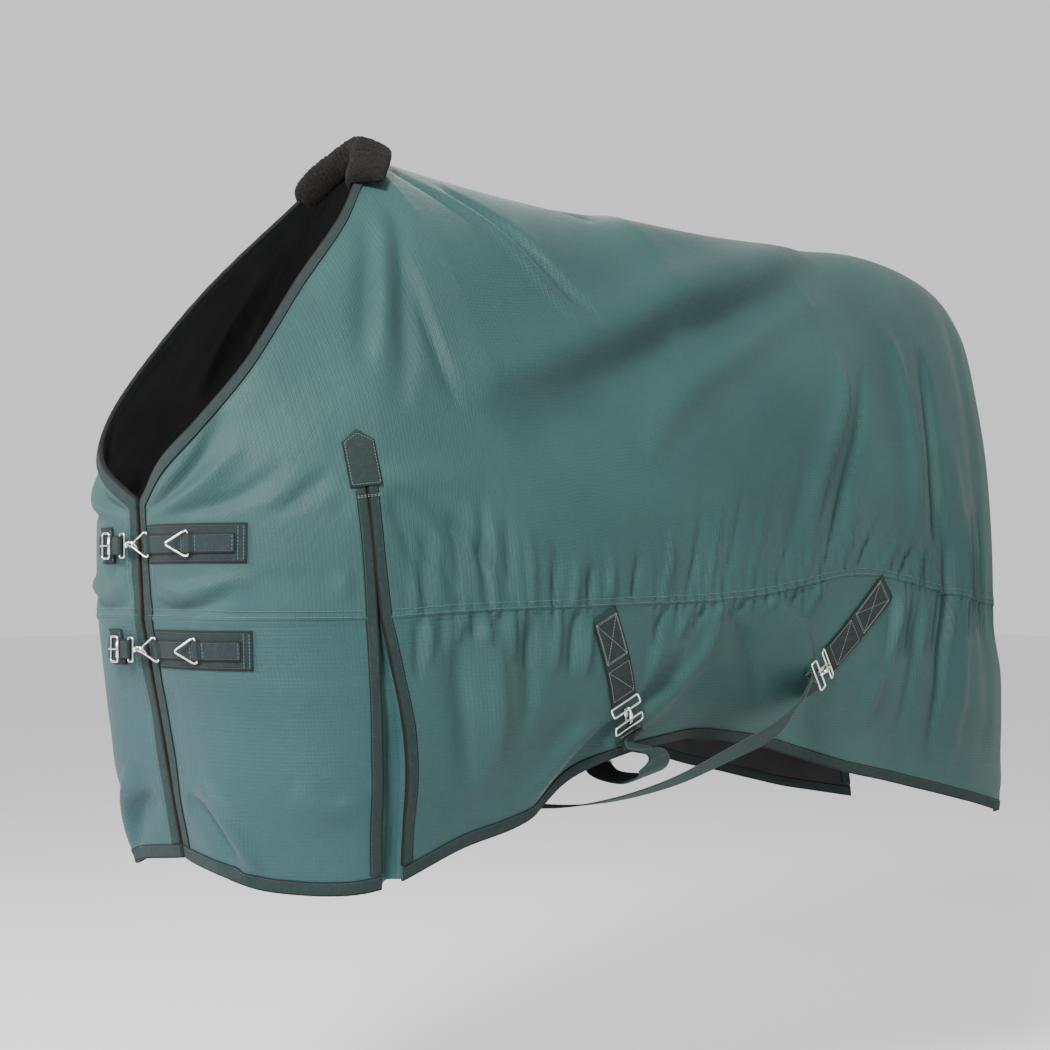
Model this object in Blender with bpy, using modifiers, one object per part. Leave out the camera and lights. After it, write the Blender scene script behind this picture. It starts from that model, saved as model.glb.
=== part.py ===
"""Turnout rug for a full-size horse, as separate cloth, webbing and metal pieces.

Metres, +Z up, +X to the tail, -Y the horse's left (near) side. The origin is the point of the rug that
rests on the withers. The cloth is a loft through ribs: each rib runs from the top (the neckline, or the
line of the back) out over the side to the gathered seam and down to the hem.
"""
import math

import bmesh
import bpy
import numpy as np
from mathutils import Vector

NAME = "turnout_rug"

# Ribs, front edge to rear edge: top point, seam point, hem point (x, half width, z), roundness of the shoulder.
RIBS = [
    ((-0.352, 0.004, -0.510), (-0.345, 0.004, -0.664), (-0.283, 0.004, -0.980), 1.0),
    ((-0.362, 0.070, -0.462), (-0.343, 0.085, -0.664), (-0.290, 0.100, -0.993), 1.0),
    ((-0.335, 0.118, -0.410), (-0.322, 0.160, -0.665), (-0.262, 0.160, -1.008), 1.0),
    ((-0.280, 0.140, -0.335), (-0.262, 0.225, -0.665), (-0.210, 0.215, -1.012), 0.95),
    ((-0.190, 0.120, -0.220), (-0.166, 0.268, -0.664), (-0.135, 0.255, -1.001), 0.90),
    ((-0.085, 0.085, -0.105), (-0.060, 0.288, -0.658), (-0.035, 0.265, -0.965), 0.80),
    ((0.000, 0.000, 0.000), (0.060, 0.300, -0.654), (0.085, 0.262, -0.940), 0.72),
    ((0.250, 0.000, -0.024), (0.255, 0.308, -0.650), (0.256, 0.258, -0.868), 0.62),
    ((0.520, 0.000, -0.038), (0.520, 0.308, -0.640), (0.520, 0.235, -0.858), 0.60),
    ((0.800, 0.000, -0.034), (0.800, 0.300, -0.606), (0.800, 0.245, -0.922), 0.60),
    ((1.050, 0.000, -0.016), (1.055, 0.290, -0.635), (1.070, 0.256, -0.982), 0.60),
    ((1.250, 0.000, -0.034), (1.240, 0.255, -0.655), (1.270, 0.250, -1.028), 0.60),
    ((1.385, 0.000, -0.080), (1.375, 0.150, -0.665), (1.410, 0.170, -1.055), 0.62),
]
FRONT = 0.0
GUSSET = 4.0
WITHERS = 6.0
TAIL = 12.0

NECK_SLOPE = math.radians(36)
PEAKED_TO = 7.6

SHELL = 0.0020
LINING = 0.0016
PLY_GAP = 0.0006
STACK = SHELL + PLY_GAP + LINING
BINDING_W = 0.018
BINDING_T = 0.0012
EDGE_GAP = 0.0007
NECK_CLEAR = (0.0036, EDGE_GAP)
HEM_CLEAR = (0.0022, EDGE_GAP)
WITHERS_EXTRA = 0.0030
SLIT_CLEAR = (0.0009, EDGE_GAP)
SEAM_GAP = 0.0006
SLIT_HALF = 0.011
SLIT_TOP_Z = -0.492
GUSSET_GAP = 0.0009

FLEECE_FROM = 5.5
WINDOW_FROM = 5.25
WINDOW_TO = 6.2
FLEECE_INNER = 0.35
FLEECE_W = 0.046
FLEECE_T = 0.010
FLEECE_CLEAR = (NECK_CLEAR[0] + BINDING_T + 0.0026, EDGE_GAP + BINDING_T + 0.0030)
DOCK_CLEAR = 0.25

SHOULDER_TAB_W = 0.044
SHOULDER_TAB_L = 0.074
SHOULDER_TAB_OVERLAP = 0.004
SHOULDER_TAB_LIFT = 0.0007

WEB_T = 0.0018
BASE_W = 0.050
TOP_W = 0.025
SEWN_GAP = 0.0008
CLOSURE_Z = {"upper": -0.568, "lower": -0.702}
BASE_LENGTH = 0.190
TOP_LENGTH = 0.175
WIRE = 0.0014
RING_BAR = 0.031
RING_REACH = 0.029
RING_LIFT = 0.0080
RING_AT = {"front": 0.016, "spare": 0.100}

SLOT = 0.0005
SNAP_X = -0.366
EYE_HEIGHT = 0.031
EYE_DEPTH = 0.012
TAIL_LENGTH = 0.019
BOW_R = 0.0092
BOW_BORE = 0.0060
BOW_TILT = math.radians(32)
APEX_IN_BOW = 0.0022
NECK_HALF = 0.0024
PLATE_T = 0.0030
MOUTH = (58.0, 126.0)
MOUTH_GAP = 4.0
STRAP_T = 0.0022
STRAP_W = 0.0245
LEG_GAP = 0.0052
STRAP_TAIL = 0.045
BUCKLE_AT = 0.026
BUCKLE_H = 0.033
BUCKLE_D = 0.017
PATCH_SPAN = (0.055, 0.090)
PATCH_W = 0.048

TAB_W = 0.050
TABS = {"front": ((6.72, -0.660), (6.98, -0.783)), "rear": ((9.27, -0.622), (8.74, -0.740))}
LOOP_WIRE = 0.0017
LOOP_WIDTH = 0.055
LOOP_DEEP = 0.0125
LOOP_LIFT = (0.0032, 0.0092)
HOOK_LENGTH = 0.0250
HOOK_HALF = 0.0052
BELLY_T = 0.0022
BELLY_PATHS = {
    "front": [(0.285, -0.318, -0.874), (0.335, -0.235, -0.905), (0.450, -0.060, -0.918), (0.600, 0.120, -0.915),
              (0.690, 0.268, -0.912), (0.712, 0.318, -0.860)],
    "rear": [(0.585, -0.318, -0.826), (0.500, -0.295, -0.868), (0.430, -0.205, -0.925), (0.370, -0.050, -0.966),
             (0.315, 0.100, -0.962), (0.290, 0.248, -0.930), (0.284, 0.334, -0.868)],
}
SLIDER_AT = {"front": 0.52, "rear": 0.55}
SLIDER_WIRE = 0.0016
SLIDER_CLEAR = 0.00045

COLOURS = {
    "cloth": ((0.150, 0.300, 0.270), 0.75, 0.0),
    "lining": ((0.010, 0.010, 0.011), 0.60, 0.0),
    "binding": ((0.055, 0.095, 0.095), 0.80, 0.0),
    "webbing": ((0.045, 0.070, 0.075), 0.80, 0.0),
    "fleece": ((0.022, 0.020, 0.018), 0.95, 0.0),
    "steel": ((0.800, 0.790, 0.770), 0.25, 1.0),
}


def clear_scene():
    for item in list(bpy.data.objects):
        bpy.data.objects.remove(item, do_unlink=True)


def new_collection():
    group = bpy.data.collections.new(NAME)
    bpy.context.scene.collection.children.link(group)
    return group


def finish(mesh_object, finish_name, smooth=True):
    """Give the object its own material, and put it in the rug's collection."""
    colour, roughness, metallic = COLOURS[finish_name]
    material = bpy.data.materials.new(mesh_object.name + "_" + finish_name)
    material.use_nodes = True
    shader = material.node_tree.nodes["Principled BSDF"]
    shader.inputs["Base Color"].default_value = (*colour, 1.0)
    shader.inputs["Roughness"].default_value = roughness
    shader.inputs["Metallic"].default_value = metallic
    mesh_object.data.materials.append(material)
    for owner in list(mesh_object.users_collection):
        owner.objects.unlink(mesh_object)
    GROUP.objects.link(mesh_object)
    if smooth and mesh_object.type == "MESH":
        mesh_object.data.shade_smooth()
    return mesh_object


def set_origin(mesh_object, point):
    """Move the object's origin to a joint's axis and leave its shape where it is."""
    for vertex in mesh_object.data.vertices:
        vertex.co -= Vector(point)
    mesh_object.location = point


def face_out(bm):
    """Turn every face outwards."""
    bmesh.ops.recalc_face_normals(bm, faces=bm.faces)
    if bm.calc_volume(signed=True) < 0:
        bmesh.ops.reverse_faces(bm, faces=bm.faces)


def from_faces(name, points, faces, finish_name, origin=None):
    mesh = bpy.data.meshes.new(name)
    bm = bmesh.new()
    made = [bm.verts.new(point) for point in points]
    for face in faces:
        bm.faces.new([made[i] for i in face])
    bmesh.ops.remove_doubles(bm, verts=bm.verts, dist=1e-6)
    face_out(bm)
    bm.to_mesh(mesh)
    bm.free()
    made_object = bpy.data.objects.new(name, mesh)
    finish(made_object, finish_name)
    if origin is not None:
        set_origin(made_object, origin)
    return made_object


# The cloth's form

def blend(values, u):
    """A Catmull-Rom curve through the values, at u counted in ribs."""
    last = len(values) - 1
    i = min(int(u), last - 1)
    t = u - i
    p1, p2 = values[i], values[i + 1]
    p0 = values[i - 1] if i > 0 else 2 * p1 - p2
    p3 = values[i + 2] if i + 2 <= last else 2 * p2 - p1
    return 0.5 * (2 * p1 + (p2 - p0) * t + (2 * p0 - 5 * p1 + 4 * p2 - p3) * t * t
                  + (3 * p1 - p0 - 3 * p2 + p3) * t ** 3)


TOPS = [np.array(rib[0]) for rib in RIBS]
SEAMS = [np.array(rib[1]) for rib in RIBS]
HEMS = [np.array(rib[2]) for rib in RIBS]
ROUNDNESS = [np.array([rib[3]]) for rib in RIBS]


# The neckline runs over the withers to its mirror image, so that it is round there.
NECKLINE = TOPS[:int(WITHERS) + 1] + [TOPS[int(WITHERS) - 1] * np.array([1.0, -1.0, 1.0])]


def top_at(u):
    """The top line: the neckline up to the withers, then the line of the back."""
    if u < WITHERS:
        return blend(NECKLINE, u)
    return blend(TOPS[int(WITHERS):], u - WITHERS)


def rib(u, v):
    """v runs 0 to 1 from the top to the seam, a rounded quarter, and 1 to 2 from the seam to the hem."""
    seam = blend(SEAMS, u)
    if v <= 1.0:
        top = top_at(u)
        power = float(blend(ROUNDNESS, u)[0])
        first = NECK_SLOPE * min(1.0, max(0.0, (PEAKED_TO - u) / (PEAKED_TO - 5.0)))
        turn = first + v * (math.pi / 2 - first)
        out = (math.sin(turn) ** power - math.sin(first) ** power) / (1 - math.sin(first) ** power)
        down = (math.cos(first) - math.cos(turn)) / math.cos(first)
        return np.array([top[0] + (seam[0] - top[0]) * down, top[1] + (seam[1] - top[1]) * out,
                         top[2] + (seam[2] - top[2]) * down])
    hem = blend(HEMS, u)
    t = v - 1
    bulge = 0.012 * math.sin(t * math.pi) * min(1.0, u)
    point = seam + (hem - seam) * t
    return point + np.array([0, bulge, 0])


def rug_point(u, v, side=-1, lift=0.0):
    """A point on the rug's outer face, or lift metres out of it; side -1 is the near side, +1 the far side."""
    point = rib(u, v)
    if lift:
        point = point + rug_normal(u, v) * lift
    return np.array([point[0], point[1] * side, point[2]])


def rug_normal(u, v):
    along = rib(min(u + 0.03, TAIL), v) - rib(max(u - 0.03, 0.0), v)
    low = max(v - 0.01, 0.004)
    down = rib(u, min(v + 0.01, 2.0)) - rib(u, low)
    normal = np.cross(along, down)
    if np.linalg.norm(normal) < 1e-9:
        return np.array([0.0, 0.0, 1.0])
    normal = normal / np.linalg.norm(normal)
    if v < 0.004 and u >= WITHERS:
        normal[1] = 0.0
        normal = normal / np.linalg.norm(normal)
    return normal


def side_normal(u, v, side):
    n = rug_normal(u, v)
    return np.array([n[0], n[1] * side, n[2]])


def v_at_height(u, z):
    """The v at which a rib passes height z, by halving."""
    low, high = 0.0, 2.0
    for _ in range(40):
        middle = (low + high) / 2
        if rib(u, middle)[2] > z:
            low = middle
        else:
            high = middle
    return (low + high) / 2


def u_step(u, distance, v):
    """The u that lies distance metres further along the rug at this v, counted in ribs."""
    step = 0.001 if distance > 0 else -0.001
    gone = 0.0
    here = rib(u, v)
    while gone < abs(distance) and 0 <= u + step <= TAIL:
        there = rib(u + step, v)
        gone += np.linalg.norm(there - here)
        here = there
        u += step
    return u


SLIT = (u_step(GUSSET, -SLIT_HALF, 1.3), u_step(GUSSET, SLIT_HALF, 1.3))
SLIT_V = v_at_height(GUSSET, SLIT_TOP_Z)
COLUMNS = [0.0, 0.35, 0.7, 1.0, 1.5, 2.0, 2.5, 3.0, 3.5, SLIT[0], SLIT[1], 4.5, 5.0, 5.25,
           5.5, 5.75, 5.9, 6.0, 6.33, 6.66, 7.0, 7.5, 8.0, 8.25, 8.5, 8.75, 9.0, 9.5, 10.0, 10.5, 11.0, 11.35, 11.7, 12.0]
UPPER_ROWS = [0.0, 0.12, 0.25, 0.40, SLIT_V, 0.82, 1.0]
LOWER_ROWS = [1.0, 1.35, 1.7, 2.0]


def sheet(name, cells, sides, lift, thickness, finish_name):
    """An open sheet through grid cells (column pair, row pair), with Solidify for its thickness."""
    bm = bmesh.new()
    made = {}

    def vertex(u, v, side):
        point = tuple(np.round(rug_point(u, v, side, lift), 7))
        if v == 0.0 and u >= WITHERS:
            point = (point[0], 0.0, point[2])
        if point not in made:
            made[point] = bm.verts.new(point)
        return made[point]

    for side in sides:
        for (u0, u1), (v0, v1) in cells:
            ring = [vertex(u0, v0, side), vertex(u1, v0, side), vertex(u1, v1, side), vertex(u0, v1, side)]
            ring = list(dict.fromkeys(ring))
            if side > 0:
                ring.reverse()
            bm.faces.new(ring)
    bmesh.ops.recalc_face_normals(bm, faces=bm.faces)
    mesh = bpy.data.meshes.new(name)
    bm.normal_update()
    outward = sum((f.normal.dot(f.calc_center_median() - Vector((f.calc_center_median().x * 0.7, 0, -0.5)))
                   for f in bm.faces))
    if outward < 0:
        bmesh.ops.reverse_faces(bm, faces=bm.faces)
    bm.to_mesh(mesh)
    bm.free()
    made_object = bpy.data.objects.new(name, mesh)
    finish(made_object, finish_name)
    wall = made_object.modifiers.new("wall", "SOLIDIFY")
    wall.thickness = thickness
    wall.offset = -1.0
    return made_object


def pairs(values):
    return list(zip(values[:-1], values[1:]))


def grid(columns, rows):
    return [(c, r) for c in pairs(columns) for r in pairs(rows)]


def cut_cells(cells):
    """Leave out the gusset's slit, and the small window at the withers that the pad covers."""
    kept = [cell for cell in cells if not (cell[0] == SLIT and cell[1][0] >= SLIT_V)]
    return [cell for cell in kept if not (WINDOW_FROM <= cell[0][0] < WINDOW_TO and cell[1][0] == 0.0)]


def make_cloth():
    front = [u for u in COLUMNS if u <= SLIT[0]]
    rear = [u for u in COLUMNS if u >= SLIT[1]]
    upper = UPPER_ROWS[:-1] + [1.0 - SEAM_GAP / 0.6]
    lower = [1.0 + SEAM_GAP / 0.3] + LOWER_ROWS[1:]
    sheet("back_panel", cut_cells(grid(COLUMNS, upper)), (-1, 1), 0.0, SHELL, "cloth")
    everything = cut_cells(grid(COLUMNS, UPPER_ROWS[:-1] + LOWER_ROWS))
    sheet("lining", everything, (-1, 1), -(SHELL + PLY_GAP), LINING, "lining")
    for side, word in ((-1, "left"), (1, "right")):
        sheet("chest_panel_" + word, grid(front, lower), (side,), 0.0, SHELL, "cloth")
        sheet("side_panel_" + word, grid(rear, lower), (side,), 0.0, SHELL, "cloth")


def channel(name, stations, width, clear, thickness, finish_name, inner_share=1.0):
    """A folded strip round an edge, clear of the faces and of the edge itself by the two values of clear.

    A station is (edge point, way in from the edge, outward normal, extra clearance).
    """
    edge_gap = clear[1]
    points, faces = [], []
    for edge, inward, normal, extra in stations:
        inner = edge + inward * width
        under = edge + inward * width * inner_share
        gap = clear[0] + extra
        out, over = gap + thickness, edge_gap
        rim = edge_gap + thickness
        deep, deeper = STACK + gap, STACK + gap + thickness
        points += [inner + normal * out, edge + normal * out - inward * rim, edge - normal * deeper - inward * rim,
                   under - normal * deeper, under - normal * deep, edge - normal * deep - inward * over,
                   edge + normal * gap - inward * over, inner + normal * gap]
    for i in range(len(stations) - 1):
        for k in range(8):
            a, b = 8 * i + k, 8 * i + (k + 1) % 8
            faces.append((a, b, b + 8, a + 8))
    last = 8 * (len(stations) - 1)
    for start in (0, last):
        faces += [tuple(start + k for k in (0, 1, 6, 7)), tuple(start + k for k in (1, 2, 5, 6)),
                  tuple(start + k for k in (2, 3, 4, 5))]
    return from_faces(name, points, faces, finish_name)


def edge_station(u, v, side, kind):
    """A station on an edge of the cloth: its way in runs along the cloth's own grid line from that edge."""
    point = rug_point(u, v, side)
    if kind == "neck":
        inside = rug_point(u, UPPER_ROWS[1], side) if u < WITHERS else rug_point(neighbour(WITHERS, "starts"), 0.0, side)
    elif kind == "hem":
        inside = rug_point(u, LOWER_ROWS[-2], side)
    else:
        inside = rug_point(neighbour(u, kind), v, side)
    if kind in ("neck", "hem"):
        ahead = rug_point(min(u + 0.2, WITHERS if kind == "neck" else TAIL), v, side)
        behind = rug_point(max(u - 0.2, 0.0), v, side)
    else:
        ahead = rug_point(u, min(v + 0.1, 2.0), side)
        behind = rug_point(u, max(v - 0.1, 0.0), side)
    inward = (inside - point) / np.linalg.norm(inside - point)
    if kind == "neck" and FLEECE_FROM <= u < WITHERS:
        along = rug_point(u + 0.02, v, side) - rug_point(u - 0.02, v, side)
        along = along / np.linalg.norm(along)
        normal = np.array([0.0, 0.0, 1.0]) - along * along[2]
        normal = normal / np.linalg.norm(normal)
        inward = np.cross(normal, along)
        if inward[0] < 0:
            inward = -inward
        return point, inward, normal, WITHERS_EXTRA
    if kind == "neck" and u >= WITHERS:
        normal = np.array([0.0, 0.0, 1.0])
        return point, inward, normal - inward * inward.dot(normal), WITHERS_EXTRA
    normal = np.cross(inward, ahead - behind)
    normal = normal / np.linalg.norm(normal)
    if normal.dot(side_normal(u, max(v, 0.02), side)) < 0:
        normal = -normal
    return point, inward, normal, 0.0


def neighbour(u, kind):
    """The column next to an upright edge, on the side where the cloth is."""
    if kind == "starts":
        return min(column for column in COLUMNS if column > u)
    return max(column for column in COLUMNS if column < u)


def make_bindings():
    seam_clear = 0.035
    necks = [u for u in COLUMNS if u < WITHERS]
    around = [edge_station(u, 0.0, -1, "neck") for u in necks] + [edge_station(WITHERS, 0.0, 1, "neck")]
    around += [edge_station(u, 0.0, 1, "neck") for u in reversed(necks)]
    channel("neck_binding", around, BINDING_W, NECK_CLEAR, BINDING_T, "binding")
    for side, word in ((-1, "left"), (1, "right")):
        hem_front = [u for u in COLUMNS if u <= SLIT[0]]
        channel("hem_binding_front_" + word, [edge_station(u, 2.0, side, "hem") for u in hem_front],
                BINDING_W, HEM_CLEAR, BINDING_T, "binding")
        hem_rear = [u for u in COLUMNS if u >= SLIT[1]]
        channel("hem_binding_side_" + word, [edge_station(u, 2.0, side, "hem") for u in hem_rear],
                BINDING_W, HEM_CLEAR, BINDING_T, "binding")
        neck_v = v_at_height(FRONT, TOPS[0][2] - BINDING_W - 0.004)
        hem_v = 2.0 - 1.15 * BINDING_W / 0.32
        down = [neck_v] + [v for v in UPPER_ROWS if v > neck_v] + [v for v in LOWER_ROWS if 1.0 < v < hem_v] + [hem_v]
        channel("front_binding_" + word, [edge_station(0.0, v, side, "starts") for v in down],
                BINDING_W, SLIT_CLEAR, BINDING_T, "binding")
        rear = UPPER_ROWS[1:] + [v for v in LOWER_ROWS if 1.0 < v < hem_v] + [hem_v]
        back = [edge_station(TAIL, v, side, "ends") for v in rear]
        dock = edge_station(TAIL, 0.0, side, "ends")
        share = DOCK_CLEAR
        back.insert(0, tuple(d + (b - d) * share for d, b in zip(dock, back[0])))
        channel("rear_binding_" + word, back, BINDING_W, HEM_CLEAR, BINDING_T, "binding")
        slit = [SLIT_V + seam_clear] + [v for v in UPPER_ROWS if v > SLIT_V] + [
            v for v in LOWER_ROWS if 1.0 < v < hem_v] + [hem_v]
        for lip, kind, place in (("front", "ends", SLIT[0]), ("rear", "starts", SLIT[1])):
            channel("gusset_binding_" + lip + "_" + word, [edge_station(place, v, side, kind) for v in slit],
                    BINDING_W * 0.8, SLIT_CLEAR, BINDING_T, "binding")


def make_gussets():
    margin = EDGE_GAP + BINDING_T + GUSSET_GAP
    inner = (u_step(SLIT[0], margin, 1.3), u_step(SLIT[1], -margin, 1.3))
    rows = [SLIT_V + 0.01, 0.82, 1.0] + LOWER_ROWS[1:]
    for side, word in ((-1, "left"), (1, "right")):
        sheet("gusset_" + word, grid(inner, rows), (side,), -0.0012, SHELL, "cloth")


def make_fleece():
    """A thick pad folded over the neck binding, across the withers."""
    ends = [u for u in COLUMNS if FLEECE_FROM <= u < WITHERS]
    near = [edge_station(u, 0.0, -1, "neck") for u in ends]
    far = [edge_station(u, 0.0, 1, "neck") for u in reversed(ends)]
    middle = [edge_station(WITHERS, 0.0, 1, "neck")]
    channel("wither_fleece", near + middle + far, FLEECE_W, FLEECE_CLEAR, FLEECE_T, "fleece", FLEECE_INNER)


def make_shoulder_tab(side, word):
    """The pointed webbing patch sewn over the top of the gusset."""
    point, normal = rug_point(GUSSET, SLIT_V, side), side_normal(GUSSET, SLIT_V, side)
    upper = rug_point(GUSSET, SLIT_V - 0.1, side)
    along = (upper - point) / np.linalg.norm(upper - point)
    across = np.cross(along, normal)
    across = across / np.linalg.norm(across)
    half = SHOULDER_TAB_W / 2
    base = point - along * SHOULDER_TAB_OVERLAP
    outline = [(-half, 0.0), (half, 0.0), (half, SHOULDER_TAB_L * 0.8), (0.0, SHOULDER_TAB_L),
               (-half, SHOULDER_TAB_L * 0.8)]
    points = []
    for lift in (SHOULDER_TAB_LIFT, SHOULDER_TAB_LIFT + WEB_T):
        points += [base + across * x + along * y + normal * lift for x, y in outline]
    faces = [(0, 1, 2, 3, 4), (5, 6, 7, 8, 9)] + [(k, (k + 1) % 5, (k + 1) % 5 + 5, k + 5) for k in range(5)]
    from_faces("gusset_tab_" + word, points, faces, "webbing")


# Webbing and wire

def ribbon(name, stations, width, thickness, finish_name, origin=None):
    """A flat strip. A station is (centre of the under face, way across, way up, extra lift)."""
    points, faces = [], []
    for centre, across, up, lift in stations:
        base = centre + up * lift
        half = across * width / 2
        points += [base - half, base + half, base + half + up * thickness, base - half + up * thickness]
    for i in range(len(stations) - 1):
        for k in range(4):
            a, b = 4 * i + k, 4 * i + (k + 1) % 4
            faces.append((a, b, b + 4, a + 4))
    last = 4 * (len(stations) - 1)
    faces += [(0, 1, 2, 3), (last, last + 1, last + 2, last + 3)]
    return from_faces(name, points, faces, finish_name, origin)


def wire(name, path, radius, finish_name, origin, closed=True, sides=2):
    """Round wire along a path, as a mesh with its origin on the joint."""
    curve = bpy.data.curves.new(name, "CURVE")
    curve.dimensions = "3D"
    curve.bevel_depth = radius
    curve.bevel_resolution = sides
    curve.use_fill_caps = not closed
    spline = curve.splines.new("POLY")
    spline.points.add(len(path) - 1)
    for point, place in zip(spline.points, path):
        point.co = (*[float(c) for c in place], 1.0)
    spline.use_cyclic_u = closed
    made_object = bpy.data.objects.new(name, curve)
    bpy.context.scene.collection.objects.link(made_object)
    bpy.context.view_layer.update()
    mesh = bpy.data.meshes.new_from_object(made_object.evaluated_get(bpy.context.evaluated_depsgraph_get()))
    bpy.data.objects.remove(made_object, do_unlink=True)
    bm = bmesh.new()
    bm.from_mesh(mesh)
    bmesh.ops.remove_doubles(bm, verts=bm.verts, dist=1e-6)
    face_out(bm)
    bm.to_mesh(mesh)
    bm.free()
    mesh.name = name
    result = bpy.data.objects.new(name, mesh)
    finish(result, finish_name)
    set_origin(result, [float(c) for c in origin])
    return result


def level_station(u, z, side, lift):
    """A station of a strip that runs level along the rug at height z."""
    v = v_at_height(u, z)
    ahead = rug_point(min(u + 0.05, TAIL), v_at_height(min(u + 0.05, TAIL), z), side)
    behind = rug_point(max(u - 0.05, 0.0), v_at_height(max(u - 0.05, 0.0), z), side)
    along = (ahead - behind) / np.linalg.norm(ahead - behind)
    normal = side_normal(u, v, side)
    across = np.cross(normal, along)
    return rug_point(u, v, side), across / np.linalg.norm(across), normal, lift


def level_u(distance, z):
    """The u that lies distance metres from the front edge, level at height z."""
    u, gone = 0.0, 0.0
    here = rib(0.0, v_at_height(0.0, z))
    while gone < distance:
        u += 0.01
        there = rib(u, v_at_height(u, z))
        gone += np.linalg.norm(there - here)
        here = there
    return u


def make_near_closure(level):
    z = CLOSURE_Z[level]
    start = BINDING_W * 1.25
    steps = 10
    places = [start + (BASE_LENGTH - start) * i / (steps - 1) for i in range(steps)]
    ribbon("chest_base_" + level, [level_station(level_u(d, z), z, -1, SEWN_GAP) for d in places],
           BASE_W, WEB_T, "webbing")
    lift = SEWN_GAP + WEB_T + SEWN_GAP
    rise = 2 * WIRE + 2 * SLOT
    bars = [start + RING_AT[k] - 0.012 for k in ("front", "spare")]
    marks = {start: 0.0, TOP_LENGTH: 0.0}
    for bar in bars:
        for offset, height in ((-0.007, 0.0), (-0.0035, 1.0), (0.0035, 1.0), (0.007, 0.0)):
            marks[max(bar + offset, start + 0.0001 * (1 + offset))] = height
    for d in np.linspace(bars[0] + 0.03, bars[1] - 0.02, 3):
        marks[float(d)] = 0.0
    for d in np.linspace(bars[1] + 0.03, TOP_LENGTH - 0.02, 2):
        marks[float(d)] = 0.0
    ordered = sorted(marks)
    ribbon("chest_web_" + level,
           [level_station(level_u(d, z), z, -1, lift + marks[d] * rise) for d in ordered],
           TOP_W, WEB_T, "webbing")
    for kind, bar in zip(("front", "spare"), bars):
        make_ring("ring_" + kind + "_" + level, bar, z, lift + SLOT + WIRE)


def make_ring(name, bar, z, lift):
    """A bent-wire triangle: its bar lies under the webbing and its point lies towards the front edge."""
    centre, across, up, _ = level_station(level_u(bar, z), z, -1, 0)
    forward = np.cross(across, up)
    if forward[1] < 0:
        forward = -forward
    pivot = centre + up * lift
    half = RING_BAR / 2
    lean = up * RING_LIFT
    path = [pivot - across * half, pivot - across * half + forward * 0.004 + lean * 0.3,
            pivot + forward * RING_REACH - across * 0.0015 + lean,
            pivot + forward * RING_REACH + across * 0.0015 + lean,
            pivot + across * half + forward * 0.004 + lean * 0.3, pivot + across * half]
    RINGS[name] = (pivot, across, pivot + forward * RING_REACH + lean)
    return wire(name, path, WIRE, "steel", pivot)


def plate(name, outline, thickness, finish_name, origin, axes):
    """A flat plate from a 2D outline: a filled curve, laid in the plane of the first two axes at origin."""
    curve = bpy.data.curves.new(name, "CURVE")
    curve.dimensions = "2D"
    curve.fill_mode = "BOTH"
    curve.extrude = thickness / 2
    spline = curve.splines.new("POLY")
    spline.points.add(len(outline) - 1)
    for point, (x, y) in zip(spline.points, outline):
        point.co = (x, y, 0.0, 1.0)
    spline.use_cyclic_u = True
    made_object = bpy.data.objects.new(name, curve)
    bpy.context.scene.collection.objects.link(made_object)
    bpy.context.view_layer.update()
    mesh = bpy.data.meshes.new_from_object(made_object.evaluated_get(bpy.context.evaluated_depsgraph_get()))
    bpy.data.objects.remove(made_object, do_unlink=True)
    bm = bmesh.new()
    bm.from_mesh(mesh)
    bmesh.ops.remove_doubles(bm, verts=bm.verts, dist=1e-6)
    first, second, third = (np.array(axis) for axis in axes)
    for vertex in bm.verts:
        x, y, z = vertex.co
        vertex.co = first * x + second * y + third * z
    face_out(bm)
    bm.to_mesh(mesh)
    bm.free()
    mesh.name = name
    result = bpy.data.objects.new(name, mesh)
    finish(result, finish_name, smooth=False)
    result.location = origin
    return result


def arc(centre, radius, start, end, steps):
    return [(centre[0] + radius * math.cos(math.radians(a)), centre[1] + radius * math.sin(math.radians(a)))
            for a in np.linspace(start, end, steps)]


def rectangle(centre, wide, deep, half_wide, half_deep):
    return [centre - wide * half_wide - deep * half_deep, centre + wide * half_wide - deep * half_deep,
            centre + wide * half_wide + deep * half_deep, centre - wide * half_wide + deep * half_deep]


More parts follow.
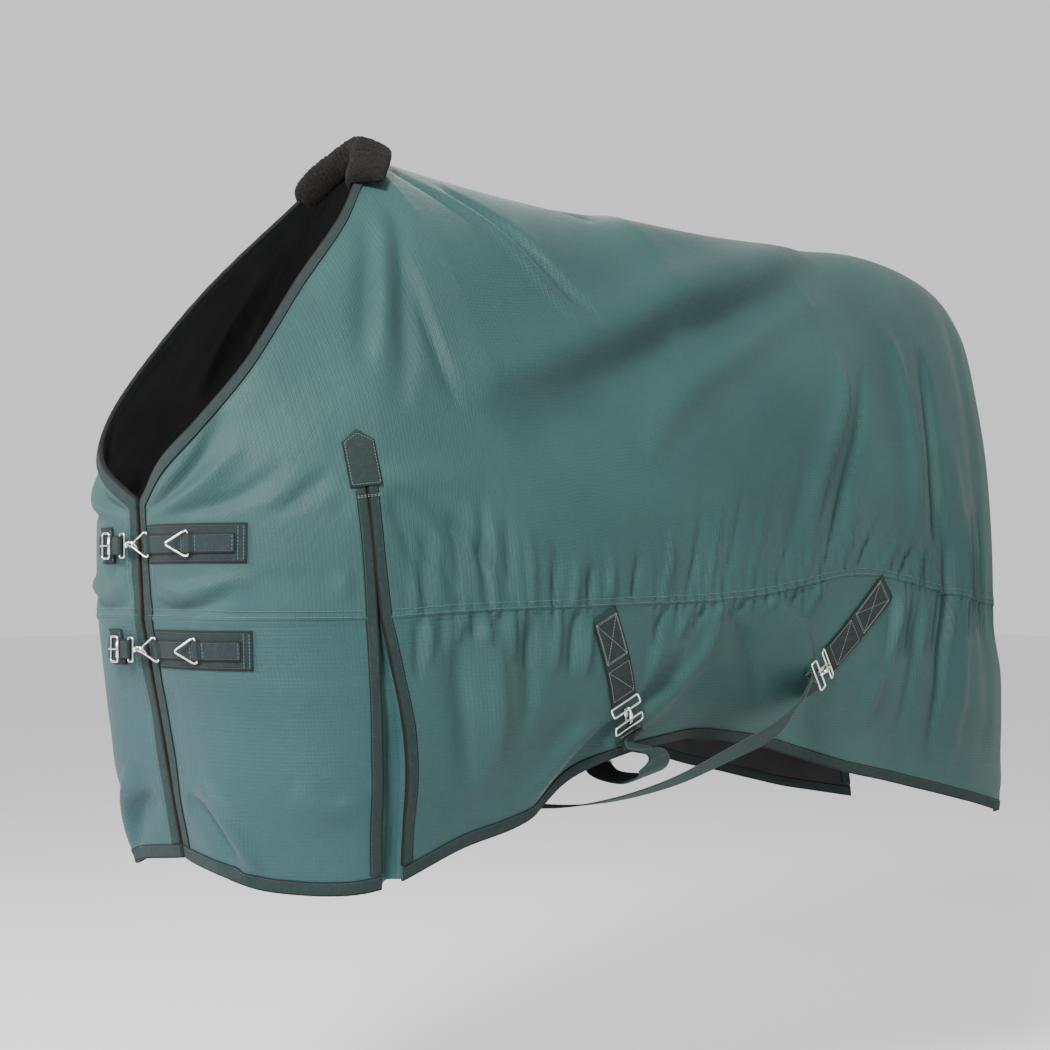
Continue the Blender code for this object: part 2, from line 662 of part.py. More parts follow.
def make_snap(level, apex):
    """A bow-ended snap hooked into the front ring, its swivel eye, its gate and the looped strap that holds it."""
    toward, up = np.array([0.0, -1.0, 0.0]), np.array([0.0, 0.0, 1.0])
    bow = np.array([apex[0], apex[1] - APEX_IN_BOW, apex[2]])
    second = np.array([-math.cos(BOW_TILT), 0.0, math.sin(BOW_TILT)])
    third = np.cross(toward, second)
    tail = TAIL_LENGTH
    middle = (BOW_R + BOW_BORE) / 2
    outline = arc((0, 0), BOW_R, MOUTH[0], -140, 14) + [(-tail, -NECK_HALF), (-tail, NECK_HALF)]
    outline += arc((0, 0), BOW_R, MOUTH[1], MOUTH[1], 1) + arc((0, 0), BOW_BORE, MOUTH[1], 360 + MOUTH[0], 16)
    eye_y = bow[1] + tail + SLOT + WIRE
    swivel = np.array([bow[0], eye_y, bow[2]])
    shifted = [(x + (bow[1] - eye_y) * -1.0, y) for x, y in outline]
    plate("snap_hook_" + level, shifted, PLATE_T, "steel", swivel, (toward, second, third))
    pivot_angle = math.radians(MOUTH[1] - MOUTH_GAP - 6)
    pivot = bow + toward * middle * math.cos(pivot_angle) + second * middle * math.sin(pivot_angle)
    gate = [(x - middle * math.cos(pivot_angle), y - middle * math.sin(pivot_angle))
            for x, y in arc((0, 0), middle + 0.0011, MOUTH[1] - MOUTH_GAP, MOUTH[0] + MOUTH_GAP, 5)
            + arc((0, 0), middle - 0.0011, MOUTH[0] + MOUTH_GAP, MOUTH[1] - MOUTH_GAP, 5)]
    plate("snap_gate_" + level, gate, PLATE_T * 0.8, "steel", pivot, (toward, second, third))
    centre = swivel - toward * EYE_DEPTH / 2
    eye = rectangle(centre, up, -toward, EYE_HEIGHT / 2, EYE_DEPTH / 2)
    fold = swivel - toward * EYE_DEPTH
    wire("snap_eye_" + level, eye, WIRE, "steel", fold)
    PLACES["snap_" + level] = {"swivel": swivel, "swivel_axis": -toward, "gate": pivot, "gate_axis": third,
                               "fold": fold}
    make_strap(level, fold)


def make_strap(level, fold):
    """Webbing sewn to the far side's chest, round the eye's bar and back through a buckle."""
    z = CLOSURE_Z[level]
    across = np.array([0.0, 0.0, 1.0])
    ribbon("strap_patch_" + level,
           [level_station(level_u(d, z), z, 1, SEWN_GAP) for d in np.linspace(*PATCH_SPAN, 4)],
           PATCH_W, WEB_T, "webbing")
    sewn = []
    for d in (PATCH_SPAN[1] - 0.006, PATCH_SPAN[0] + 0.008):
        point, _, normal, _ = level_station(level_u(d, z), z, 1, 0)
        sewn.append((point + normal * (SEWN_GAP + WEB_T + SEWN_GAP * 4 + STRAP_T / 2), normal))
    half = LEG_GAP / 2
    track = [sewn[0][0], sewn[1][0]]
    track += [np.array([fold[0] + half, fold[1] + 0.012, fold[2]]), np.array([fold[0] + half, fold[1], fold[2]])]
    track += [fold + np.array([half * math.cos(a), -half * math.sin(a), 0.0])
              for a in np.radians([36, 72, 108, 144])]
    track += [np.array([fold[0] - half, fold[1] + reach, fold[2]]) for reach in (0.0, 0.02, STRAP_TAIL)]
    stations = []
    for i, point in enumerate(track):
        before, after = track[max(i - 1, 0)], track[min(i + 1, len(track) - 1)]
        along = (after - before) / np.linalg.norm(after - before)
        along[2] = 0.0
        up = np.cross(along, across)
        up = up / np.linalg.norm(up)
        centre = np.array([point[0], point[1], fold[2] if i > 1 else z])
        stations.append((centre - up * STRAP_T / 2, across, up, 0.0))
    ribbon("chest_strap_" + level, stations, STRAP_W, STRAP_T, "webbing")
    front = fold[0] - half - STRAP_T / 2 - SLOT - WIRE
    centre = np.array([front, fold[1] + BUCKLE_AT, fold[2]])
    deep = np.array([0.0, 1.0, 0.0])
    wire("buckle_" + level, rectangle(centre, across, deep, BUCKLE_H / 2, BUCKLE_D / 2), WIRE, "steel", centre)
    hinge = centre + deep * BUCKLE_D / 2
    out = np.array([-1.0, 0.0, 0.0])
    lift = WIRE * 2 + SLOT
    tongue = [hinge + out * lift, hinge + out * lift - deep * BUCKLE_D - deep * 0.002]
    wire("buckle_tongue_" + level, tongue, WIRE * 0.8, "steel", hinge, closed=False)
    PLACES["buckle_" + level] = {"hinge": hinge, "axis": across}


def tab_frame(place, side, share):
    """The point, way along, way across and normal on a belly tab, share 0 at its top and 1 at its loop."""
    (u0, z0), (u1, z1) = TABS[place]

    def at(t):
        u, z = u0 + (u1 - u0) * t, z0 + (z1 - z0) * t
        return rug_point(u, v_at_height(u, z), side), side_normal(u, v_at_height(u, z), side)

    point, normal = at(share)
    along = at(share + 0.02)[0] - at(share - 0.02)[0]
    along = along / np.linalg.norm(along)
    across = np.cross(normal, along)
    across = across / np.linalg.norm(across)
    return point, along, across, np.cross(along, across)


def make_tab(place, side, word):
    stations = []
    for share in np.linspace(0.0, 1.0, 6):
        point, _, across, normal = tab_frame(place, side, share)
        stations.append((point, across, normal, TAB_LIFT))
    ribbon("belly_tab_" + place + "_" + word, stations, TAB_W, WEB_T, "webbing")


TAB_LIFT = 0.0016


def make_belly_hardware(place):
    """The wire loop on the tab, the link through it, and the strap's own loop."""
    point, along, across, normal = tab_frame(place, -1, 1.0)
    start = point + normal * (TAB_LIFT + WEB_T / 2)
    slope = (along * LOOP_DEEP + normal * (LOOP_LIFT[1] - LOOP_LIFT[0]))
    slope = slope / np.linalg.norm(slope)
    bar = start + along * (LOOP_WIRE + SLOT)
    low = bar + slope * LOOP_DEEP
    half = LOOP_WIDTH / 2
    wire("belly_loop_" + place, [bar - across * half, bar + across * half, low + across * half, low - across * half],
         LOOP_WIRE, "steel", bar)
    head = low - along * (2 * LOOP_WIRE + SLOT)
    foot = head + along * (HOOK_LENGTH)
    link = []
    for centre, turn in ((head + along * HOOK_HALF, 90), (foot - along * HOOK_HALF, -90)):
        for a in np.linspace(turn + 90, turn - 90, 5):
            link.append(centre + normal * HOOK_HALF * math.cos(math.radians(a))
                        - along * HOOK_HALF * math.sin(math.radians(a)))
    wire("belly_hook_" + place, link, LOOP_WIRE, "steel", low)
    top = foot - along * (2 * LOOP_WIRE + SLOT)
    end = top + along * LOOP_DEEP
    wire("strap_loop_" + place, [top - across * half, top + across * half, end + across * half, end - across * half],
         LOOP_WIRE, "steel", end)
    PLACES["belly_" + place] = {"bar": bar, "low": low, "across": across, "along": along, "normal": normal,
                                "end": end, "top": top}
    return end + along * (LOOP_WIRE + SLOT / 2), along, across, normal


def smooth_path(points, steps):
    values = [np.array(point) for point in points]
    return [blend(values, u) for u in np.linspace(0, len(values) - 1, steps)]


def make_belly_strap(place):
    """A strap from its loop on the near side, under the belly, to the opposite tab on the far side."""
    start, along, across, normal = make_belly_hardware(place)
    other = "rear" if place == "front" else "front"
    end, far_along, far_across, far_normal = tab_frame(other, 1, 1.0)
    finish_point = end + far_normal * (TAB_LIFT + WEB_T / 2) + far_along * 0.0008
    points = [start, start + along * 0.02] + [np.array(p) for p in BELLY_PATHS[place]]
    points += [finish_point + far_along * 0.025 + far_normal * 0.008, finish_point]
    track = smooth_path(points, 40)
    stations = []
    for i, centre in enumerate(track):
        tangent = track[min(i + 1, 39)] - track[max(i - 1, 0)]
        if i == 0:
            tangent = along
        if i == 39:
            tangent = -far_along
        tangent = tangent / np.linalg.norm(tangent)
        outward = centre - np.array([centre[0], 0.0, -0.55])
        share_near = max(0.0, 1 - i / 5)
        share_far = max(0.0, 1 - (39 - i) / 5)
        outward = outward / np.linalg.norm(outward)
        outward = outward * (1 - share_near - share_far) + normal * share_near + far_normal * share_far
        outward = outward - tangent * outward.dot(tangent)
        outward = outward / np.linalg.norm(outward)
        side = np.cross(tangent, outward)
        stations.append((centre - outward * BELLY_T / 2, side, outward, 0.0))
    ribbon("belly_strap_" + place, stations, TAB_W, BELLY_T, "webbing")
    make_slider(place, track, stations)


def make_slider(place, track, stations):
    i = int(SLIDER_AT[place] * 39)
    _, side, outward, _ = stations[i]
    centre = track[i]
    tangent = np.cross(outward, side)
    half_wide = TAB_W / 2 + SLIDER_CLEAR + SLIDER_WIRE
    half_deep = BELLY_T / 2 + SLIDER_CLEAR + SLIDER_WIRE
    wire("strap_slider_" + place, rectangle(centre, side, outward, half_wide, half_deep), SLIDER_WIRE, "steel",
         centre)
    PLACES["slider_" + place] = {"centre": centre, "axis": tangent}


PLACES = {}
RINGS = {}
GROUP = None


def main():
    global GROUP
    clear_scene()
    GROUP = new_collection()
    make_cloth()
    make_bindings()
    make_gussets()
    make_fleece()
    for level in CLOSURE_Z:
        make_near_closure(level)
        pivot, across, apex = RINGS["ring_front_" + level]
        make_snap(level, apex)
    for side, word in ((-1, "left"), (1, "right")):
        make_shoulder_tab(side, word)
        for place in TABS:
            make_tab(place, side, word)
    for place in TABS:
        make_belly_strap(place)


main()
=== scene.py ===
import math

import bmesh
import bpy
import numpy as np
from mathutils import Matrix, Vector


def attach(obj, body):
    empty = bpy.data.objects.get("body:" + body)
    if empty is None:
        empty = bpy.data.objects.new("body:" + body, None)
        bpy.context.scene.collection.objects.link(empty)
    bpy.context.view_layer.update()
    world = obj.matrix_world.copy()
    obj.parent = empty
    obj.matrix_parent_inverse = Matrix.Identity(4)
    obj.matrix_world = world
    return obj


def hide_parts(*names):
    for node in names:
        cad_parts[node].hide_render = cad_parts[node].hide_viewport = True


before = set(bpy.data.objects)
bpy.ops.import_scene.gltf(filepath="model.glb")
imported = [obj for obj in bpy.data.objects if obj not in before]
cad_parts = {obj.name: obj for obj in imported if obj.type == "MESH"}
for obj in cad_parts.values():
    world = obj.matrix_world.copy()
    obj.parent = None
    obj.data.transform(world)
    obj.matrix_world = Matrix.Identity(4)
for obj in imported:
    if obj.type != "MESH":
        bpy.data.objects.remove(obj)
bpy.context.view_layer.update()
print("frame loaded")

# camera, level with the rug's side and turned towards its left shoulder
view = {"place": (-1.493, -1.957, -0.62), "turn": -43.0, "lens": 58.5, "sensor": 36.0, "rise": 0.057}


def makeCamera():
    lens = bpy.data.cameras.new("studioCamera")
    lens.lens, lens.sensor_width, lens.shift_y = view["lens"], view["sensor"], view["rise"]
    camera = bpy.data.objects.new("studioCamera", lens)
    camera.location = view["place"]
    camera.rotation_euler = (math.radians(90), 0, math.radians(view["turn"]))
    bpy.context.scene.collection.objects.link(camera)
    bpy.context.scene.camera = camera


makeCamera()


# shader maths

class Flow:
    # one output of a node tree; arithmetic on it adds Math nodes
    def __init__(self, tree, socket=None):
        self.tree, self.socket = tree, socket

    def node(self, kind, settings=None, sockets=None, output=0):
        made = self.tree.nodes.new(kind)
        for key, value in (settings or {}).items():
            if key == "stops":
                for stop, (place, colour) in zip(range(len(value)), value):
                    item = made.color_ramp.elements[stop] if stop < 2 else made.color_ramp.elements.new(place)
                    item.position, item.color = place, colour
            else:
                setattr(made, key, value)
        for key, value in (sockets or {}).items():
            if isinstance(value, Flow):
                self.tree.links.new(value.socket, made.inputs[key])
            else:
                made.inputs[key].default_value = value
        return Flow(self.tree, made.outputs[output])

    def maths(self, operation, *values):
        return self.node("ShaderNodeMath", {"operation": operation}, dict(enumerate(values)))

    def __add__(self, other):
        return self.maths("ADD", self, other)

    def __radd__(self, other):
        return self.maths("ADD", other, self)

    def __sub__(self, other):
        return self.maths("SUBTRACT", self, other)

    def __rsub__(self, other):
        return self.maths("SUBTRACT", other, self)

    def __mul__(self, other):
        return self.maths("MULTIPLY", self, other)

    def __rmul__(self, other):
        return self.maths("MULTIPLY", other, self)

    def __abs__(self):
        return self.maths("ABSOLUTE", self)

    def part(self, axis):
        return self.node("ShaderNodeSeparateXYZ", None, {0: self}, axis)

    def wave(self, length):
        # 0..1, one rise and fall in each length
        return self.maths("SINE", self * (2 * math.pi / length)) * 0.5 + 0.5

    def step(self, low, high):
        return self.node("ShaderNodeMapRange", {"interpolation_type": "SMOOTHSTEP"},
                         {0: self, 1: low, 2: high, 3: 0.0, 4: 1.0})

    def noise(self, scale, detail=2.0, rough=0.5):
        return self.node("ShaderNodeTexNoise", None,
                         {"Vector": self, "Scale": scale, "Detail": detail, "Roughness": rough})

    def stretched(self, x, y, z=1.0):
        return self.node("ShaderNodeMapping", None, {"Vector": self, "Scale": (x, y, z)})

    def mix(self, first, second):
        # a colour between two, with this as the share
        return self.node("ShaderNodeMix", {"data_type": "RGBA"}, {0: self, 6: first, 7: second}, 2)

    def bump(self, strength, depth, under=None):
        sockets = {"Strength": strength, "Distance": depth, "Height": self}
        if under is not None:
            sockets["Normal"] = under
        return self.node("ShaderNodeBump", None, sockets)


def finish(name, metallic=0.0, **fixed):
    # a new material: its shader, and its flows of UV and object coordinates
    material = bpy.data.materials.new(name)
    material.use_nodes = True
    tree = material.node_tree
    shader = tree.nodes["Principled BSDF"]
    shader.inputs["Metallic"].default_value = metallic
    for key, value in fixed.items():
        shader.inputs[key.replace("_", " ")].default_value = value
    start = Flow(tree)
    uv = start.node("ShaderNodeUVMap", {"uv_map": "metres"})
    place = start.node("ShaderNodeTexCoord", None, None, 3)
    return material, shader, uv, place


def feed(shader, socket, flow):
    flow.tree.links.new(flow.socket, shader.inputs[socket])


# the cool colour is painted cool light: a bluish tint for the low front, where the fabric itself is the same
# colour
clothLook = {"lit": (0.020, 0.066, 0.060, 1), "deep": (0.013, 0.047, 0.044, 1),
             "paintedCoolTint": (0.014, 0.045, 0.063, 1),
             "ripPitch": 0.0052, "threadPitch": 0.0011}


def clothFinish():
    # rain-proof ripstop: raised thread lines in both directions, slubs, slow drifts of colour, and a painted
    # bluish tint of cool light over the low front
    material, shader, uv, place = finish("ripstopCloth", Sheen_Weight=0.03, Sheen_Roughness=0.45,
                                         Specular_IOR_Level=0.26)
    along, down = uv.part(0), uv.part(1)
    pitch = clothLook["ripPitch"]
    ribAlong = along.wave(pitch).step(0.80, 1.0)
    ribDown = down.wave(pitch).step(0.80, 1.0)
    ribs = ribAlong.maths("MAXIMUM", ribAlong, ribDown)
    threads = along.wave(clothLook["threadPitch"]) * down.wave(clothLook["threadPitch"])
    slubAlong = uv.stretched(60, 1900).noise(1.0, 2.0)
    slubDown = uv.stretched(1900, 60).noise(1.0, 2.0)
    slubs = (slubAlong + slubDown) * 0.5
    drift = place.noise(3.2, 3.0).step(0.35, 0.68)
    colour = drift.mix(clothLook["deep"], clothLook["lit"])
    # painted cool light: the cloth towards the front and the hem is mixed towards the bluish tint by position
    front = 1 - place.part(0).step(-0.30, 0.10)
    low = 1 - place.part(2).step(-0.85, -0.45)
    paintedCoolTint = front * low * (place.noise(5.0, 2.0) * 0.6 + 0.5)
    colour = (paintedCoolTint * 0.75).mix(colour, clothLook["paintedCoolTint"])
    colour = (slubs.step(0.35, 0.65) * 0.25).mix(colour, (0.033, 0.090, 0.082, 1))
    colour = (ribs * 0.22).mix(colour, (0.008, 0.027, 0.026, 1))
    feed(shader, "Base Color", colour)
    feed(shader, "Roughness", place.noise(14.0, 3.0) * 0.14 + 0.50 - ribs * 0.05)
    weave = ribs * 0.9 + threads * 0.25 + slubs * 0.6
    fine = weave.bump(0.55, 0.0006)
    feed(shader, "Normal", place.noise(26.0, 3.0, 0.6).bump(0.22, 0.006, fine))
    return material


tapeLook = {"colour": (0.010, 0.021, 0.021, 1), "light": (0.022, 0.038, 0.038, 1),
            "edge": (0.010, 0.007, 0.007, 1),
            "rib": 0.0013}


def tapeFinish(name, width, look, edgeWidth=0.0016, rib=None, twoEdges=True):
    # woven tape: fine cross ribs, and a dark selvedge down its edges; V is the distance across from its
    # middle
    material, shader, uv, place = finish(name, Sheen_Weight=0.02, Specular_IOR_Level=0.14)
    along, across = uv.part(0), uv.part(1)
    pitch = rib or look["rib"]
    ribs = along.wave(pitch)
    twill = (along + across).wave(pitch * 1.6)
    body = ribs * 0.7 + twill * 0.3
    distance = abs(across) if twoEdges else across
    edge = distance.step(width / 2 - edgeWidth - 0.0004, width / 2 - edgeWidth + 0.0004)
    dust = place.noise(160.0, 3.0).step(0.40, 0.72)
    colour = (body * 0.45 + dust * 0.35).mix(look["colour"], look["light"])
    colour = (edge * 0.92).mix(colour, look["edge"])
    feed(shader, "Base Color", colour)
    feed(shader, "Roughness", place.noise(60.0, 2.0) * 0.15 + 0.66)
    feed(shader, "Normal", (body + dust * 0.3).bump(0.75, 0.0007))
    return material


webLook = {"colour": (0.009, 0.016, 0.018, 1), "light": (0.020, 0.032, 0.035, 1),
           "edge": (0.012, 0.008, 0.008, 1),
           "rib": 0.0021}


def liningFinish():
    # plain dark nylon with a close weave
    material, shader, uv, place = finish("darkLining", Sheen_Weight=0.03, Specular_IOR_Level=0.20)
    weave = uv.part(0).wave(0.0014) * uv.part(1).wave(0.0014)
    tone = place.noise(9.0, 3.0).step(0.3, 0.7)
    feed(shader, "Base Color", tone.mix((0.006, 0.006, 0.007, 1), (0.012, 0.012, 0.013, 1)))
    feed(shader, "Roughness", place.noise(20.0, 2.0) * 0.12 + 0.46)
    feed(shader, "Normal", place.noise(22.0, 3.0).bump(0.25, 0.006, weave.bump(0.4, 0.0005)))
    return material


def fleeceFinish():
    # curly pile: small clumps over larger tufts
    material, shader, uv, place = finish("darkFleece", Sheen_Weight=0.03, Sheen_Roughness=0.6,
                                         Specular_IOR_Level=0.06)
    curls = place.noise(420.0, 4.0, 0.7)
    tufts = place.noise(110.0, 3.0, 0.6)
    feed(shader, "Base Color", curls.step(0.30, 0.72).mix((0.002, 0.002, 0.002, 1), (0.013, 0.012, 0.011, 1)))
    feed(shader, "Roughness", tufts * 0.08 + 0.88)
    feed(shader, "Normal", (curls * 0.7 + tufts).bump(1.0, 0.0035))
    return material


def steelFinish():
    # bright nickel plate with faint wear
    material, shader, uv, place = finish("nickelPlate", metallic=1.0)
    wear = place.noise(240.0, 4.0, 0.6).step(0.45, 0.75)
    feed(shader, "Base Color", wear.mix((0.80, 0.79, 0.76, 1), (0.62, 0.60, 0.56, 1)))
    feed(shader, "Roughness", wear * 0.14 + 0.17)
    feed(shader, "Normal", place.noise(700.0, 2.0).bump(0.08, 0.0004))
    return material


def threadFinish(name, colour):
    material, shader, uv, place = finish(name, Sheen_Weight=0.1)
    twist = place.noise(1800.0, 2.0)
    feed(shader, "Base Color",
         twist.mix((colour[0] * 0.7, colour[1] * 0.7, colour[2] * 0.7, 1), (*colour, 1)))
    feed(shader, "Roughness", twist * 0.1 + 0.6)
    return material


finishes = {
    "cloth": clothFinish(),
    "lining": liningFinish(),
    "fleece": fleeceFinish(),
    "steel": steelFinish(),
    "tape": tapeFinish("bindingTape", 0.018, tapeLook),
    "web50": tapeFinish("broadWebbing", 0.050, webLook, 0.0024, 0.0012),
    "web25": tapeFinish("narrowWebbing", 0.025, webLook, 0.0019),
    "strap25": tapeFinish("chestStrapWebbing", 0.0245, webLook, 0.0014, 0.0014),
    "tab44": tapeFinish("gussetTabWebbing", 0.044,
                        {"colour": (0.012, 0.021, 0.021, 1), "light": (0.024, 0.038, 0.038, 1),
                                                    "edge": (0.012, 0.008, 0.008, 1), "rib": 0.0024}, 0.0017),
    "belly50": tapeFinish("bellyWebbing", 0.050,
                          {"colour": (0.014, 0.030, 0.029, 1), "light": (0.026, 0.049, 0.047, 1),
                                                  "edge": (0.026, 0.046, 0.045, 1), "rib": 0.0018}, 0.0016),
    "tab50": tapeFinish("bellyTabWebbing", 0.050,
                        {"colour": (0.011, 0.017, 0.018, 1), "light": (0.024, 0.035, 0.035, 1),
                                                   "edge": (0.010, 0.007, 0.007, 1), "rib": 0.0014}, 0.0022),
    "threadGreen": threadFinish("greenThread", (0.07, 0.14, 0.13)),
    "threadDark": threadFinish("darkThread", (0.017, 0.026, 0.026)),
    "threadPale": threadFinish("paleThread", (0.15, 0.19, 0.18)),
}
print("finishes made")


# the rug's form: ribs from the front edge to the rear one, each a top, a seam and a hem point and a roundness
rug = {
    "ribs": [
        (-0.352, 0.004, -0.510, -0.345, 0.004, -0.664, -0.283, 0.004, -0.980, 1.0),
        (-0.362, 0.070, -0.462, -0.343, 0.085, -0.664, -0.290, 0.100, -0.993, 1.0),
        (-0.335, 0.118, -0.410, -0.322, 0.160, -0.665, -0.262, 0.160, -1.008, 1.0),
        (-0.280, 0.140, -0.335, -0.262, 0.225, -0.665, -0.210, 0.215, -1.012, 0.95),
        (-0.190, 0.120, -0.220, -0.166, 0.268, -0.664, -0.135, 0.255, -1.001, 0.90),
        (-0.085, 0.085, -0.105, -0.060, 0.288, -0.658, -0.035, 0.265, -0.965, 0.80),
        (0.000, 0.000, 0.000, 0.060, 0.300, -0.654, 0.085, 0.262, -0.940, 0.72),
        (0.250, 0.000, -0.024, 0.255, 0.308, -0.650, 0.256, 0.258, -0.868, 0.62),
        (0.520, 0.000, -0.038, 0.520, 0.308, -0.640, 0.520, 0.235, -0.858, 0.60),
        (0.800, 0.000, -0.034, 0.800, 0.300, -0.606, 0.800, 0.245, -0.922, 0.60),
        (1.050, 0.000, -0.016, 1.055, 0.290, -0.635, 1.070, 0.256, -0.982, 0.60),
        (1.250, 0.000, -0.034, 1.240, 0.255, -0.655, 1.270, 0.250, -1.028, 0.60),
        (1.385, 0.000, -0.080, 1.375, 0.150, -0.665, 1.410, 0.170, -1.055, 0.62),
    ],
    "withers": 6.0, "tail": 12.0, "gusset": 4.0, "neckSlope": math.radians(36), "peakedTo": 7.6, "peakedFrom": 5.0,
    "bulge": 0.012, "slitHalf": 0.011, "slitTopZ": -0.492,
}
ribs = np.array(rug["ribs"])
neckline = np.vstack([ribs[:7, 0:3], ribs[5, 0:3] * (1, -1, 1)])
backLine = ribs[6:, 0:3]


def smooth(low, high, x):
    t = np.clip((x - low) / (high - low), 0, 1)
    return t * t * (3 - 2 * t)


def unit(vectors):
    return vectors / np.maximum(np.linalg.norm(vectors, axis=-1, keepdims=True), 1e-12)


def runLength(points):
    # the distance gone along a line at each of its points
    return np.concatenate([[0], np.cumsum(np.linalg.norm(np.diff(points, axis=0), axis=1))])


def catmull(values, u):
    # a smooth curve through the values, with its ends carried straight on; u is counted in values
    last = len(values) - 1
    i = np.clip(np.floor(u).astype(int), 0, last - 1)
    ends = np.vstack([2 * values[0] - values[1], values, 2 * values[-1] - values[-2]])
    t = (u - i)[..., None]
    a, b, c, d = ends[i], ends[i + 1], ends[i + 2], ends[i + 3]
    return 0.5 * (2 * b + (c - a) * t + (2 * a - 5 * b + 4 * c - d) * t ** 2 + (3 * b - a - 3 * c + d) * t ** 3)


def ribPoint(u, v):
    # v 0..1 goes from the top line to the seam on a rounded quarter: out grows as sine to a power and down as
    # one less the cosine; v 1..2 goes on to the hem in a line with a slight bulge
    u, v = np.broadcast_arrays(np.asarray(u, float), np.asarray(v, float))
    u = np.clip(u, 0, rug["tail"])
    top = np.where((u < rug["withers"])[..., None], catmull(neckline, np.minimum(u, 6.0)),
                   catmull(backLine, np.maximum(u - 6.0, 0.0)))
    seam, hem = catmull(ribs[:, 3:6], u), catmull(ribs[:, 6:9], u)
    power = catmull(ribs[:, 9:10], u)[..., 0]
    first = rug["neckSlope"] * np.clip((rug["peakedTo"] - u) / (rug["peakedTo"] - rug["peakedFrom"]), 0, 1)
    turn = first + np.clip(v, 0, 1) * (math.pi / 2 - first)
    out = (np.sin(turn) ** power - np.sin(first) ** power) / (1 - np.sin(first) ** power)
    down = (np.cos(first) - np.cos(turn)) / np.cos(first)
    point = top + (seam - top) * np.stack([down, out, down], -1)
    t = np.clip(v - 1, 0, 1)
    point = point + (hem - seam) * t[..., None]
    point[..., 1] += rug["bulge"] * np.sin(t * math.pi) * np.minimum(1.0, u)
    return point


def ribNormal(u, v):
    u, v = np.broadcast_arrays(np.asarray(u, float), np.asarray(v, float))
    along = ribPoint(np.minimum(u + 0.03, 12.0), v) - ribPoint(np.maximum(u - 0.03, 0.0), v)
    down = ribPoint(u, np.minimum(v + 0.01, 2.0)) - ribPoint(u, np.maximum(v - 0.01, 0.004))
    normal = unit(np.cross(along, down))
    crest = (v < 0.004) & (u >= rug["withers"])
    normal[..., 1] = np.where(crest, 0.0, normal[..., 1])
    return unit(normal)


def vAtHeight(u, z):
    # the v at which each rib passes height z, by halving
    u, z = np.broadcast_arrays(np.asarray(u, float), np.asarray(z, float))
    low, high = np.zeros(u.shape), np.full(u.shape, 2.0)
    for _ in range(40):
        middle = (low + high) / 2
        above = ribPoint(u, middle)[..., 2] > z
        low, high = np.where(above, middle, low), np.where(above, high, middle)
    return (low + high) / 2


def uStep(u, distance, v):
    # the u that lies distance metres further along at this v
    us = u + np.sign(distance) * np.arange(0, 0.6, 0.001)
    gone = runLength(ribPoint(us, v))
    return float(us[np.searchsorted(gone, abs(distance))])


def levelU(distances, z):
    # the u at each distance in metres from the front edge, level at height z
    us = np.arange(0, 6, 0.01)
    points = ribPoint(us, vAtHeight(us, z))
    gone = runLength(points)
    return np.interp(distances, gone, us)


slit = (uStep(rug["gusset"], -rug["slitHalf"], 1.3), uStep(rug["gusset"], rug["slitHalf"], 1.3))
slitV = float(vAtHeight(rug["gusset"], rug["slitTopZ"]))
seamU = np.linspace(0, 12, 1201)
seamRun = runLength(ribPoint(seamU, 1.0))


def runAt(u):
    return np.interp(u, seamU, seamRun)


def uAtRun(run):
    return np.interp(run, seamRun, seamU)


